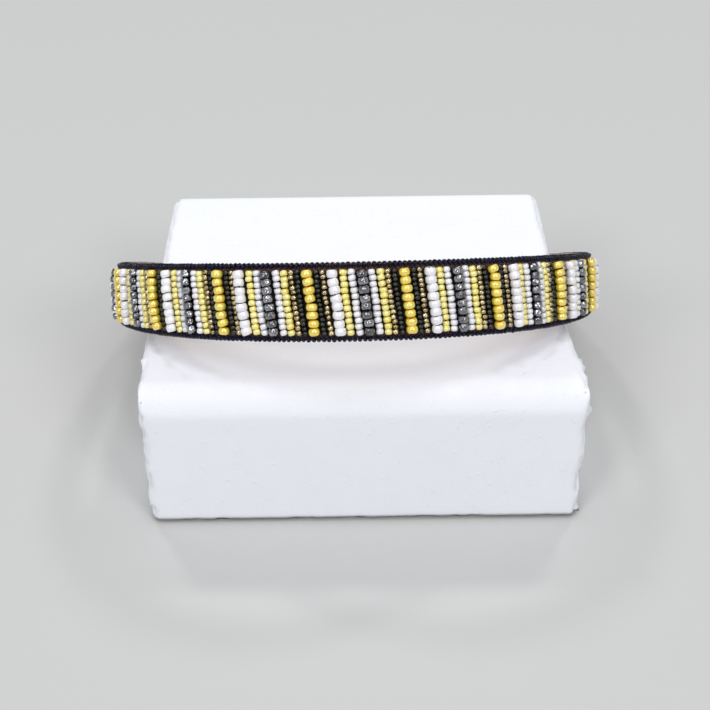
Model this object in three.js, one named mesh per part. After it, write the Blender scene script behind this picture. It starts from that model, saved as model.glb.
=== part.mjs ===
// A beaded headband resting on a plain foam display block.
//
// The headband is a stiff U that tapers towards two rounded tips. Its front lies over the block's
// side edges and its tips stand on the surface behind the block. Millimetres, +Z up, +X to the
// wearer's left as seen from the front, +Y towards the tips. The origin is the middle of the
// block's base.

import * as THREE from "three";

// Display block
const BLOCK_WIDTH = 122;
const BLOCK_DEPTH = 113;
const BLOCK_HEIGHT = 45;
const BLOCK_ROUNDING = 3;
const BLOCK_ROUNDING_STEPS = 3;

// Outline of the band in its own plane, on the cloth face that carries the beads
const FRONT_RADIUS = 72;
const FRONT_HALF_ANGLE = THREE.MathUtils.degToRad(88);
const ARM_RADIUS = 260;
const ARM_LENGTH = 73;
const FRONT_HALF_LENGTH = FRONT_RADIUS * FRONT_HALF_ANGLE;
const HALF_LENGTH = FRONT_HALF_LENGTH + ARM_LENGTH;

// Width of the band, edging included, from the middle of the front to the rounded tips
const CENTRE_WIDTH = 21;
const TIP_WIDTH = 11;
const TIP_RADIUS = TIP_WIDTH / 2;
const TAPER_POWER = 2.5;
const TAPER_LENGTH = HALF_LENGTH - TIP_RADIUS;

// Layers through the wall, from the head outwards
const SEAT_GAP = 0.25;
const CLOTH_THICKNESS = 2;
const LINING_THICKNESS = 1;
const CLOTH_INSIDE = -CLOTH_THICKNESS;
const LINING_OUTSIDE = CLOTH_INSIDE - SEAT_GAP;
const LINING_INSIDE = LINING_OUTSIDE - LINING_THICKNESS;
const LINING_INSET = 0.3;

// Edging of fine black beads, a rope that caps the edges of the cloth in front of the lining
const EDGING_HEIGHT = 1.6;
const EDGING_INSIDE = CLOTH_INSIDE;
const EDGING_OUTSIDE = 0.6;
const EDGING_MEET_GAP = 0.15;

// How the band lies on the block: it touches the rounded side edges at an angle from straight up
const BAND_FRONT_Y = -51.3;
const BAND_TURN = THREE.MathUtils.degToRad(1);
const SEAT_ANGLE = THREE.MathUtils.degToRad(39);
const REST_GAP = 0.25;

// Sections along the band
const FRONT_STEPS = 12;
const ARM_STEPS = 5;
const TIP_ANGLES_DEG = [0, 30, 55, 76];

// Bead strings: large ones lie on the cloth as solids of their own, fine ones are ribs of it
const STRING_GAP = 0.21;
const STRING_SLANT = 0.12;
const STRING_END_GAP = 0.3;
const BEADED_HALF_LENGTH = 148;
const REPEATS_EACH_WAY = 7;
const ROUND_BEAD_SIDES = 10;
const WAIST_SHARE = 0.72;
const OCTAGON_HALF_SIDE = Math.tan(Math.PI / 8);

const BEADS = {
  yellow: { diameter: 3.05, length: 2.2, large: true, waist: WAIST_SHARE },
  white: { diameter: 3.05, length: 2.2, large: true, waist: WAIST_SHARE },
  gunmetal: { diameter: 2.75, length: 2.15, large: true, waist: 1 },
  fineYellow: { diameter: 2.0, length: 1.6, large: false },
  fineWhite: { diameter: 2.0, length: 1.6, large: false },
  gold: { diameter: 1.45, length: 1.35, large: false },
  black: { diameter: 1.5, length: 1.28, large: false },
};

// One repeat of the stripes, in the +X direction
const STRIPES = [
  "yellow",
  "black",
  "gold",
  "white",
  "fineYellow",
  "fineWhite",
  "gunmetal",
  "fineWhite",
  "fineYellow",
  "gold",
  "black",
];

const FINISHES = {
  foam: { color: 0xf2f2f4, roughness: 0.85, metalness: 0 },
  suede: { color: 0xb98f5e, roughness: 0.95, metalness: 0 },
  cloth: { color: 0x2a1a17, roughness: 0.95, metalness: 0 },
  jet: { color: 0x0a0a10, roughness: 0.15, metalness: 0 },
  yellow: { color: 0xeec23a, roughness: 0.25, metalness: 0 },
  white: { color: 0xf4f2f6, roughness: 0.2, metalness: 0 },
  gunmetal: { color: 0x55555a, roughness: 0.2, metalness: 0.9 },
};

const finish = (name) => new THREE.MeshStandardMaterial(FINISHES[name]);

// The outline's place and heading at a length along the band, which is negative on the -X side.
function outlineAt(along) {
  const side = Math.sign(along) || 1;
  const length = Math.abs(along);
  const heading =
    Math.min(length / FRONT_RADIUS, FRONT_HALF_ANGLE) +
    Math.max(length - FRONT_HALF_LENGTH, 0) / ARM_RADIUS;
  const front = Math.min(heading, FRONT_HALF_ANGLE);
  const x =
    FRONT_RADIUS * Math.sin(front) + ARM_RADIUS * (Math.sin(heading) - Math.sin(front));
  const y =
    FRONT_RADIUS * (1 - Math.cos(front)) + ARM_RADIUS * (Math.cos(front) - Math.cos(heading));
  return { x: side * x, y, heading: side * heading };
}

// A point of the band in its own frame: along its length, across its width, and out from the cloth.
function bandPoint(along, across, out) {
  const { x, y, heading } = outlineAt(along);
  return new THREE.Vector3(x + out * Math.sin(heading), y - out * Math.cos(heading), across);
}

function outwardAt(along) {
  const { heading } = outlineAt(along);
  return new THREE.Vector3(Math.sin(heading), -Math.cos(heading), 0);
}

// Half the band's width, edging included, before the tip is rounded.
function halfWidthAt(along) {
  const share = Math.min(Math.abs(along) / TAPER_LENGTH, 1);
  return (CENTRE_WIDTH - (CENTRE_WIDTH - TIP_WIDTH) * share ** TAPER_POWER) / 2;
}

// How far the band reaches from its middle line inside an inset, with the tip rounded.
function insetReach(along, inset) {
  const past = Math.max(Math.abs(along) - TAPER_LENGTH, 0);
  const reach = halfWidthAt(along) - inset;
  return Math.sqrt(Math.max(reach ** 2 - past ** 2, 0));
}

// How far a string leans along the band at the end of its reach. The bare tips lean less.
function leanAt(along, reach) {
  const bare = Math.max(Math.abs(along) - BEADED_HALF_LENGTH, 0);
  const fade = 1 - Math.min(bare / (TAPER_LENGTH - BEADED_HALF_LENGTH), 1);
  return STRING_SLANT * reach * fade;
}

// Points of the upper edge, inset from the outline, from the -X tip to the +X tip. No point lies
// in the very middle, so that the lining has a flat facet there.
// Each has the direction in the cloth's face that points away from the band.
function upperEdge(inset) {
  const half = [];
  for (let i = 0; i < FRONT_STEPS; i++) {
    const share = (i + 0.5) / (FRONT_STEPS - 0.5);
    half.push({ along: FRONT_HALF_LENGTH * share, turn: 0 });
  }
  for (let i = 1; i < ARM_STEPS; i++) {
    const share = i / ARM_STEPS;
    half.push({
      along: THREE.MathUtils.lerp(FRONT_HALF_LENGTH, TAPER_LENGTH, share),
      turn: 0,
    });
  }
  for (const degrees of TIP_ANGLES_DEG) {
    half.push({ along: TAPER_LENGTH, turn: THREE.MathUtils.degToRad(degrees) });
  }
  const mirrored = half
    .map(({ along, turn }) => ({ along: -along, turn: -turn }))
    .reverse();
  return [...mirrored, ...half].map(({ along, turn }) => {
    const reach = halfWidthAt(along) - inset;
    return {
      along: along + reach * Math.sin(turn),
      across: reach * Math.cos(turn),
      awayAlong: Math.sin(turn),
      awayAcross: Math.cos(turn),
    };
  });
}

function signedVolume(positions, index) {
  const [a, b, c] = [new THREE.Vector3(), new THREE.Vector3(), new THREE.Vector3()];
  let volume = 0;
  for (let i = 0; i < index.length; i += 3) {
    a.fromArray(positions, 3 * index[i]);
    b.fromArray(positions, 3 * index[i + 1]);
    c.fromArray(positions, 3 * index[i + 2]);
    volume += a.dot(b.cross(c)) / 6;
  }
  return volume;
}

// A mesh of the given triangles, turned so that its faces point out.
function solidFrom(positions, index) {
  if (signedVolume(positions, index) < 0) {
    index.reverse();
  }
  const geometry = new THREE.BufferGeometry();
  geometry.setAttribute("position", new THREE.Float32BufferAttribute(positions, 3));
  geometry.setIndex(index);
  return geometry;
}

// A closed skin through sections of equally many points, capped flat at both ends.
function loft(sections) {
  const count = sections[0].length;
  const positions = sections.flat().flatMap((point) => point.toArray());
  const index = [];
  for (let s = 0; s + 1 < sections.length; s++) {
    for (let k = 0; k < count; k++) {
      const a = s * count + k;
      const b = s * count + ((k + 1) % count);
      index.push(a, b, b + count, a, b + count, a + count);
    }
  }
  const last = (sections.length - 1) * count;
  for (let k = 1; k + 1 < count; k++) {
    index.push(0, k + 1, k, last, last + k, last + k + 1);
  }
  return solidFrom(positions, index);
}

// A closed skin between two rings of matching points, with both ends filled as the flat plan is.
function skinBetween(plan, top, bottom) {
  const count = plan.length;
  const positions = [...top, ...bottom].flatMap((point) => point.toArray());
  const index = [];
  for (let k = 0; k < count; k++) {
    const next = (k + 1) % count;
    index.push(k, next, next + count, k, next + count, k + count);
  }
  const clockwise = THREE.ShapeUtils.isClockWise(plan);
  for (const [a, b, c] of THREE.ShapeUtils.triangulateShape(plan, [])) {
    const lower = [a + count, b + count, c + count];
    index.push(...(clockwise ? [a, b, c] : [a, c, b]));
    index.push(...(clockwise ? lower.reverse() : lower));
  }
  return solidFrom(positions, index);
}

function namedMesh(name, geometry, finishName) {
  const mesh = new THREE.Mesh(geometry, finish(finishName));
  mesh.name = name;
  return mesh;
}

// A wall of the band between two depths, with its edges inset from the outline.
function wallGeometry(inset, inside, outside) {
  const sections = upperEdge(inset).map(({ along, across }) => [
    bandPoint(along, across, outside),
    bandPoint(along, -across, outside),
    bandPoint(along, -across, inside),
    bandPoint(along, across, inside),
  ]);
  return loft(sections);
}

// The edging rope on one long edge, with an eight-sided section, from the middle of one tip to
// the middle of the other.
function edgingGeometry(side) {
  const halfHeight = EDGING_HEIGHT / 2;
  const corner = halfHeight * Math.tan(Math.PI / 8);
  const middle = (EDGING_INSIDE + EDGING_OUTSIDE) / 2;
  const halfDepth = (EDGING_OUTSIDE - EDGING_INSIDE) / 2;
  const flank = halfDepth - halfHeight + corner;
  const section = [
    { away: corner, out: halfDepth },
    { away: halfHeight, out: flank },
    { away: halfHeight, out: -flank },
    { away: corner, out: -halfDepth },
    { away: -corner, out: -halfDepth },
    { away: -halfHeight, out: -flank },
    { away: -halfHeight, out: flank },
    { away: -corner, out: halfDepth },
  ];
  const route = upperEdge(halfHeight);
  const tipReach = HALF_LENGTH - halfHeight;
  const end = { across: EDGING_MEET_GAP, awayAlong: 1, awayAcross: 0 };
  route.unshift({ ...end, along: -tipReach, awayAlong: -1 });
  route.push({ ...end, along: tipReach });
  const sections = route.map((point) =>
    section.map(({ away, out }) =>
      bandPoint(
        point.along + away * point.awayAlong,
        side * (point.across + away * point.awayAcross),
        middle + out,
      ),
    ),
  );
  return loft(sections);
}

// Every bead string of the stripes, with its kind, its place and the length it has there.
function beadStrings() {
  const steps = STRIPES.map((kind, i) => {
    const next = BEADS[STRIPES[(i + 1) % STRIPES.length]];
    return (BEADS[kind].diameter + next.diameter) / 2 + STRING_GAP;
  });
  const repeat = steps.reduce((sum, step) => sum + step, 0);
  const strings = [];
  for (let k = -REPEATS_EACH_WAY; k < REPEATS_EACH_WAY; k++) {
    let along = (k + 0.5) * repeat;
    STRIPES.forEach((kind, i) => {
      if (Math.abs(along) <= BEADED_HALF_LENGTH) {
        const reach = halfWidthAt(along) - EDGING_HEIGHT - STRING_END_GAP;
        strings.push({ kind, along, reach });
      }
      along += steps[i];
    });
  }
  return strings;
}

// Turns a shape that stands on its own Y axis into a string's place on the cloth.
function stringPlace({ along, reach }, out) {
  const top = bandPoint(along - STRING_SLANT * reach, reach, out);
  const bottom = bandPoint(along + STRING_SLANT * reach, -reach, out);
  const up = top.clone().sub(bottom);
  const length = up.length();
  up.normalize();
  const sideways = up.clone().cross(outwardAt(along)).normalize();
  const outward = sideways.clone().cross(up);
  const middle = top.add(bottom).multiplyScalar(0.5);
  const matrix = new THREE.Matrix4().makeBasis(sideways, up, outward).setPosition(middle);
  return { matrix, length };
}

// A large string: beads threaded on one line, each a belly between two waists.
function largeString(string, name) {
  const bead = BEADS[string.kind];
  const radius = bead.diameter / 2;
  const { matrix, length } = stringPlace(string, SEAT_GAP + radius);
  const count = Math.round(length / bead.length);
  const waist = radius * bead.waist;
  const profile = [new THREE.Vector2(0, -length / 2), new THREE.Vector2(waist, -length / 2)];
  if (bead.waist < 1) {
    for (let i = 0; i < count; i++) {
      profile.push(new THREE.Vector2(radius, length * ((i + 0.5) / count - 0.5)));
      profile.push(new THREE.Vector2(waist, length * ((i + 1) / count - 0.5)));
    }
  } else {
    profile.push(new THREE.Vector2(radius, length / 2));
  }
  profile.push(new THREE.Vector2(0, length / 2));
  const mesh = namedMesh(
    name,
    new THREE.LatheGeometry(profile, ROUND_BEAD_SIDES),
    string.kind,
  );
  matrix.decompose(mesh.position, mesh.quaternion, mesh.scale);
  return mesh;
}

// The outer face of the cloth in one line along the band: bare cloth, and for each fine string
// a rib with the upper half of an eight-sided tube.
function ribbedFace(fineStrings, stations) {
  const ribs = fineStrings.map(({ kind, along }) => ({
    along,
    radius: BEADS[kind].diameter / 2,
  }));
  const bare = stations.filter((station) =>
    ribs.every(({ along, radius }) => Math.abs(station - along) > radius + STRING_GAP),
  );
  const face = bare.map((along) => ({ along, out: 0 }));
  for (const { along, radius } of ribs) {
    const half = radius * OCTAGON_HALF_SIDE;
    face.push({ along: along - radius, out: 0 });
    face.push({ along: along - radius, out: radius + half });
    face.push({ along: along - half, out: 2 * radius });
    face.push({ along: along + half, out: 2 * radius });
    face.push({ along: along + radius, out: radius + half });
    face.push({ along: along + radius, out: 0 });
  }
  return face.sort((a, b) => a.along - b.along);
}

// The ground cloth with its fine strings, as one sheet that leans with the strings.
function groundCloth(fineStrings, inset) {
  const edge = upperEdge(inset);
  const stations = edge.map(({ along }) => along);
  const inner = stations.map((along) => ({ along, out: CLOTH_INSIDE })).reverse();
  const outline = [...ribbedFace(fineStrings, stations), ...inner];
  const plan = outline.map(({ along, out }) => {
    const point = bandPoint(along, 0, out);
    return new THREE.Vector2(point.x, point.y);
  });
  const ring = (side) =>
    outline.map(({ along, out }) => {
      const reach = insetReach(along, inset);
      return bandPoint(along - side * leanAt(along, reach), side * reach, out);
    });
  return skinBetween(plan, ring(1), ring(-1));
}

function displayBlock() {
  const flat = 2 * BLOCK_ROUNDING;
  const [w, d] = [(BLOCK_WIDTH - flat) / 2, (BLOCK_DEPTH - flat) / 2];
  const plan = new THREE.Shape();
  plan.moveTo(-w, -d).lineTo(w, -d).lineTo(w, d).lineTo(-w, d).closePath();
  const geometry = new THREE.ExtrudeGeometry(plan, {
    depth: BLOCK_HEIGHT - flat,
    bevelThickness: BLOCK_ROUNDING,
    bevelSize: BLOCK_ROUNDING,
    bevelSegments: BLOCK_ROUNDING_STEPS,
  });
  geometry.translate(0, 0, BLOCK_ROUNDING);
  return namedMesh("display_block", geometry, "foam");
}

function headband() {
  const band = new THREE.Group();
  const clothInset = EDGING_HEIGHT + SEAT_GAP;
  const strings = beadStrings();

  const lining = wallGeometry(LINING_INSET, LINING_INSIDE, LINING_OUTSIDE);
  band.add(namedMesh("lining", lining, "suede"));

  const fineStrings = strings.filter(({ kind }) => !BEADS[kind].large);
  band.add(namedMesh("ground_cloth", groundCloth(fineStrings, clothInset), "cloth"));

  band.add(namedMesh("edging_upper", edgingGeometry(1), "jet"));
  band.add(namedMesh("edging_lower", edgingGeometry(-1), "jet"));

  const made = {};
  for (const string of strings.filter(({ kind }) => BEADS[kind].large)) {
    made[string.kind] = (made[string.kind] ?? 0) + 1;
    const number = String(made[string.kind]).padStart(2, "0");
    band.add(largeString(string, `${string.kind}_string_${number}`));
  }
  return band;
}

// Tips the band so that its lining lies on the block's side edges and its tips on the floor. It lies
// a little askew, turned about the upright line midway between its two seats.
function layOnBlock(band) {
  const seatX = BLOCK_WIDTH / 2 - BLOCK_ROUNDING * (1 - Math.sin(SEAT_ANGLE));
  const seatZ = BLOCK_HEIGHT - BLOCK_ROUNDING * (1 - Math.cos(SEAT_ANGLE)) + REST_GAP;
  const seatHeading = Math.asin(seatX / (FRONT_RADIUS + LINING_INSIDE));
  const seatAlong = FRONT_RADIUS * seatHeading;
  const seatDepth = bandPoint(seatAlong, 0, LINING_INSIDE).y;
  const seatDrop = halfWidthAt(seatAlong) - LINING_INSET;
  const tipDepth = bandPoint(TAPER_LENGTH, 0, 0).y;
  const rise = seatZ - TIP_RADIUS;
  const run = tipDepth - seatDepth;
  const tilt = Math.asin(rise / Math.hypot(run, seatDrop)) + Math.atan2(seatDrop, run);
  const bandHeight = seatZ + seatDrop * Math.cos(tilt) + seatDepth * Math.sin(tilt);
  const ahead = seatDepth * Math.cos(tilt) - seatDrop * Math.sin(tilt);
  const seatY = BAND_FRONT_Y + ahead;
  band.rotation.set(-tilt, 0, BAND_TURN, "ZYX");
  band.position.set(
    ahead * Math.sin(BAND_TURN),
    seatY - ahead * Math.cos(BAND_TURN),
    bandHeight,
  );
  return band;
}

const headbandOnBlock = new THREE.Group();
headbandOnBlock.add(displayBlock(), layOnBlock(headband()));

export default headbandOnBlock;
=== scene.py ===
"""Dresses the beaded headband that lies on its foam display block.

Every bead, the ground cloth, the suede lining and the foam are made here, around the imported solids.
Sizes are in millimetres and become metres where a mesh is made. Lengths along the band are counted
from the middle of its front, across the band from its middle line, and out from the cloth's face.
"""

import logging
import math
from collections.abc import Iterable, Mapping, Sequence
from dataclasses import dataclass, field
from enum import Enum

import bpy
import numpy as np
from mathutils import Matrix, Vector


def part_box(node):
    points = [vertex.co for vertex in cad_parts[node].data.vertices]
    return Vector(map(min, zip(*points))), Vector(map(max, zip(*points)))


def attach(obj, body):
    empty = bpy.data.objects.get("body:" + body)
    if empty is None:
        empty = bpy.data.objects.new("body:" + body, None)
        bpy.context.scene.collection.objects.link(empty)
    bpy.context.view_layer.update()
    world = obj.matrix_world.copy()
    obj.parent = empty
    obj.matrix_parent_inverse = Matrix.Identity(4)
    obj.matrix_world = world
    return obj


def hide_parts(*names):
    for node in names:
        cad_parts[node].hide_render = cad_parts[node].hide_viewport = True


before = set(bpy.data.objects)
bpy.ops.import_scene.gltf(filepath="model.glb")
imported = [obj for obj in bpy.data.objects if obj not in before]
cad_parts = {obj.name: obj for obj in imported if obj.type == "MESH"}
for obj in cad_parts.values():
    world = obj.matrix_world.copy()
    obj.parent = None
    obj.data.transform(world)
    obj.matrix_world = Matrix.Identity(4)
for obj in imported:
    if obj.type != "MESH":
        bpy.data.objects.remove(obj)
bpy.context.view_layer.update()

LOG = logging.getLogger("headband")
BODY = "root"
MM = 0.001

# Names of the values that meshes keep for their materials
RIM = "rim"
TINT = "tint"
BAND_PLACE = "band_place"

Colour = tuple[float, float, float, float]
Scalar = float | int
# Where a smooth step starts and where it is full
Zone = tuple[float, float]


def srgb(red: int, green: int, blue: int) -> Colour:
    """Turns a screen colour into the linear light that shaders use.

    Args:
        red: Red from 0 to 255.
        green: Green from 0 to 255.
        blue: Blue from 0 to 255.

    Returns:
        The colour as four linear numbers, the last one 1.
    """
    linear = []
    for level in (red, green, blue):
        share = level / 255
        linear.append(share / 12.92 if share <= 0.04045 else ((share + 0.055) / 1.055) ** 2.4)
    return (linear[0], linear[1], linear[2], 1.0)


class BeadKind(Enum):
    """The kinds of bead on the band. The value is the first word of the names of its pieces."""

    YELLOW = "yellow"
    WHITE = "white"
    GUNMETAL = "gunmetal"
    FINE_YELLOW = "fine_yellow"
    FINE_WHITE = "fine_white"
    GOLD = "gold"
    BLACK = "black"


class Edge(Enum):
    """The two long edges of the band, as the sign of their place across it."""

    UPPER = 1
    LOWER = -1


class Draw(Enum):
    """What chance decides for each bead. The value is added to the seed of its piece."""

    STRAY_X = 1
    STRAY_Y = 2
    STRAY_Z = 3
    LEAN_X = 4
    LEAN_Y = 5
    SPIN = 6
    GIRTH = 7
    LENGTH = 8
    TINT = 9


# Node graphs


class Field:
    """An output socket that takes part in Python sums, each of which adds a Math node."""

    def __init__(self, graph: "NodeGraph", socket: bpy.types.NodeSocket) -> None:
        """Keeps the socket and the graph that new nodes go into."""
        self.graph = graph
        self.socket = socket

    def __getitem__(self, name: str) -> "Field":
        """Another output of the same node."""
        return self.graph.output(self.socket.node, name)

    def __add__(self, other: "Field | Scalar") -> "Field":
        """This value plus another."""
        return self.graph.maths("ADD", self, other)

    def __radd__(self, other: Scalar) -> "Field":
        """A number plus this value."""
        return self.graph.maths("ADD", other, self)

    def __sub__(self, other: "Field | Scalar") -> "Field":
        """This value less another."""
        return self.graph.maths("SUBTRACT", self, other)

    def __rsub__(self, other: Scalar) -> "Field":
        """A number less this value."""
        return self.graph.maths("SUBTRACT", other, self)

    def __mul__(self, other: "Field | Scalar") -> "Field":
        """This value times another."""
        return self.graph.maths("MULTIPLY", self, other)

    def __rmul__(self, other: Scalar) -> "Field":
        """A number times this value."""
        return self.graph.maths("MULTIPLY", other, self)

    def __truediv__(self, other: "Field | Scalar") -> "Field":
        """This value over another."""
        return self.graph.maths("DIVIDE", self, other)

    def __rtruediv__(self, other: Scalar) -> "Field":
        """A number over this value."""
        return self.graph.maths("DIVIDE", other, self)

    def __pow__(self, other: "Field | Scalar") -> "Field":
        """This value to a power."""
        return self.graph.maths("POWER", self, other)

    def __abs__(self) -> "Field":
        """This value without its sign."""
        return self.graph.maths("ABSOLUTE", self)


class NodeGraph:
    """Adds nodes to a tree and joins them up."""

    def __init__(self, tree: bpy.types.NodeTree) -> None:
        """Keeps the tree that the nodes go into."""
        self.tree = tree

    def add(
        self,
        kind: str,
        settings: Mapping[str, object] | None = None,
        sockets: Mapping[str | int, object] | None = None,
    ) -> Field | None:
        """Adds a node.

        Args:
            kind: The node's type.
            settings: Its properties, set first.
            sockets: Values or fields for its inputs, by name or by number.

        Returns:
            Its first output in use, or None for a node that has none.
        """
        node = self.tree.nodes.new(kind)
        for name, value in (settings or {}).items():
            setattr(node, name, value)
        for key, value in (sockets or {}).items():
            self.feed(self._input(node, key), value)
        used = [socket for socket in node.outputs if socket.enabled]
        return Field(self, used[0]) if used else None

    def maths(self, operation: str, *values: Field | Scalar) -> Field:
        """Adds a Math node and gives its result."""
        return self.add("ShaderNodeMath", {"operation": operation}, dict(enumerate(values)))

    def vectors(self, operation: str, *values: object) -> Field:
        """Adds a Vector Math node and gives its result."""
        return self.add("ShaderNodeVectorMath", {"operation": operation}, dict(enumerate(values)))

    def xyz(self, x: Field | Scalar, y: Field | Scalar, z: Field | Scalar) -> Field:
        """Adds a node that puts three values together as a vector."""
        return self.add("ShaderNodeCombineXYZ", sockets={"X": x, "Y": y, "Z": z})

    def parts(self, vector: Field) -> tuple[Field, Field, Field]:
        """Adds a node that takes a vector apart into its three values."""
        split = self.add("ShaderNodeSeparateXYZ", sockets={"Vector": vector})
        return split["X"], split["Y"], split["Z"]

    def eased(self, value: Field, start: Scalar, end: Scalar) -> Field:
        """A smooth step of a value.

        Args:
            value: The value that is stepped.
            start: Where the step begins, with 0.
            end: Where the step ends, with 1.

        Returns:
            The step, from 0 to 1.
        """
        return self.add(
            "ShaderNodeMapRange",
            {"interpolation_type": "SMOOTHSTEP"},
            {"Value": value, "From Min": start, "From Max": end},
        )

    def blend(self, share: Field | Scalar, first: object, second: object) -> Field:
        """Mixes two colours.

        Args:
            share: How much of the second colour there is.
            first: A colour or a field of colours.
            second: Another one.

        Returns:
            The mixed colour.
        """
        return self.add(
            "ShaderNodeMix",
            {"data_type": "RGBA"},
            {"Factor": share, "A": first, "B": second},
        )

    def noise(self, place: Field, grain: float, detail: float = 2.0) -> Field:
        """Soft noise from 0 to 1.

        Args:
            place: Where it is read, in metres.
            grain: The size of its patches in millimetres.
            detail: How many finer layers it has.

        Returns:
            The noise.
        """
        return self.add(
            "ShaderNodeTexNoise",
            sockets={"Vector": place, "Scale": 1 / (grain * MM), "Detail": detail},
        )["Fac"]

    def seams(self, place: Field, cell: float, width: float) -> Field:
        """The seams between the cells of foam.

        Args:
            place: Where they are read, in metres.
            cell: The size of a cell in millimetres.
            width: How far a seam reaches into its cells, as a share of their size.

        Returns:
            1 in the middle of a seam, falling to 0 inside the cells.
        """
        distance = self.add(
            "ShaderNodeTexVoronoi",
            {"feature": "DISTANCE_TO_EDGE"},
            {"Vector": place, "Scale": 1 / (cell * MM)},
        )
        return 1 - self.eased(distance, 0.0, width)

    def output(self, node: bpy.types.Node, name: str) -> Field:
        """The output of a node with that name, the one in use where several share it."""
        return Field(self, next(s for s in node.outputs if s.name == name and s.enabled))

    def feed(self, socket: bpy.types.NodeSocket, value: object) -> None:
        """Links a field to an input, or sets its value.

        Args:
            socket: The input.
            value: The field or the value.
        """
        if isinstance(value, Field):
            self.tree.links.new(value.socket, socket)
        else:
            socket.default_value = value

    @staticmethod
    def _input(node: bpy.types.Node, key: str | int) -> bpy.types.NodeSocket:
        """Finds an input of a node.

        Args:
            node: The node.
            key: The input's number, or its name among those in use.

        Returns:
            The input.
        """
        if isinstance(key, int):
            return node.inputs[key]
        return next(s for s in node.inputs if s.name == key and s.enabled)


class ShapeGraph(NodeGraph):
    """A Geometry Nodes tree with named inputs, which turns a source mesh into a finished one."""

    def __init__(self, name: str) -> None:
        """Makes the tree with one geometry input and one geometry output.

        Args:
            name: The tree's name.
        """
        super().__init__(bpy.data.node_groups.new(name, "GeometryNodeTree"))
        self.identifiers: dict[str, str] = {}
        self._entry = self.tree.nodes.new("NodeGroupInput")
        self.source = self.named("Geometry", "Geometry")
        self.tree.interface.new_socket(
            "Geometry", in_out="OUTPUT", socket_type="NodeSocketGeometry"
        )

    def named(self, name: str, kind: str = "Float") -> Field:
        """Reads a named input of the tree, which is added the first time.

        Args:
            name: The input's name.
            kind: Float, Int, Material or Geometry.

        Returns:
            The input's value inside the tree.
        """
        if name not in self.identifiers:
            item = self.tree.interface.new_socket(
                name, in_out="INPUT", socket_type=f"NodeSocket{kind}"
            )
            self.identifiers[name] = item.identifier
        return self.output(self._entry, name)

    def attribute(self, name: str, kind: str = "FLOAT") -> Field:
        """Reads a named attribute of the geometry."""
        return self.add("GeometryNodeInputNamedAttribute", {"data_type": kind}, {"Name": name})

    def position(self) -> Field:
        """The place of each point."""
        return self.add("GeometryNodeInputPosition")

    def chance(self, low: Field | Scalar, high: Field | Scalar, seed: Field | Scalar) -> Field:
        """A random number for each point, between two values."""
        return self.add(
            "FunctionNodeRandomValue",
            {"data_type": "FLOAT"},
            {"Min": low, "Max": high, "Seed": seed},
        )

    def circle(self, points: Field | int, radius: Field | Scalar) -> Field:
        """A ring of straight lines between points."""
        return self.add(
            "GeometryNodeCurvePrimitiveCircle",
            sockets={"Resolution": points, "Radius": radius},
        )

    def tube(self, line: Field, section: Field, capped: bool) -> Field:
        """Sweeps a section along a line, with or without caps on its ends."""
        return self.add(
            "GeometryNodeCurveToMesh",
            sockets={"Curve": line, "Profile Curve": section, "Fill Caps": capped},
        )

    def moved(self, shape: Field, place: Field) -> Field:
        """Puts the points of a shape in new places."""
        return self.add(
            "GeometryNodeSetPosition", sockets={"Geometry": shape, "Position": place}
        )

    def keep(self, shape: Field, name: str, value: Field, domain: str = "POINT") -> Field:
        """Stores a value on a shape as a named attribute, for its material to read."""
        return self.add(
            "GeometryNodeStoreNamedAttribute",
            {"data_type": "FLOAT", "domain": domain},
            {"Geometry": shape, "Name": name, "Value": value},
        )

    def smoothed(self, shape: Field) -> Field:
        """Shades a shape smooth."""
        return self.add(
            "GeometryNodeSetShadeSmooth", sockets={"Geometry": shape, "Shade Smooth": True}
        )

    def realized(self, shape: Field) -> Field:
        """Turns instances into plain mesh."""
        return self.add("GeometryNodeRealizeInstances", sockets={"Geometry": shape})

    def dressed(self, shape: Field, name: str) -> Field:
        """Gives a shape the material that the input of that name holds."""
        material = self.named(name, "Material")
        return self.add(
            "GeometryNodeSetMaterial", sockets={"Geometry": shape, "Material": material}
        )

    def finish(self, shape: Field) -> None:
        """Joins the finished shape to the tree's output."""
        self.add("NodeGroupOutput", sockets={"Geometry": shape})

    def shape(self, piece: bpy.types.Object, values: Mapping[str, object]) -> None:
        """Turns an object's mesh into what the tree makes of it, as a plain mesh.

        Args:
            piece: The object that holds the source mesh.
            values: The tree's named inputs.
        """
        modifier = piece.modifiers.new(self.tree.name, "NODES")
        modifier.node_group = self.tree
        for name, value in values.items():
            modifier[self.identifiers[name]] = value
        graph = bpy.context.evaluated_depsgraph_get()
        made = bpy.data.meshes.new_from_object(
            piece.evaluated_get(graph), preserve_all_data_layers=True, depsgraph=graph
        )
        made.name = piece.name
        piece.modifiers.remove(modifier)
        piece.data = made


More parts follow.
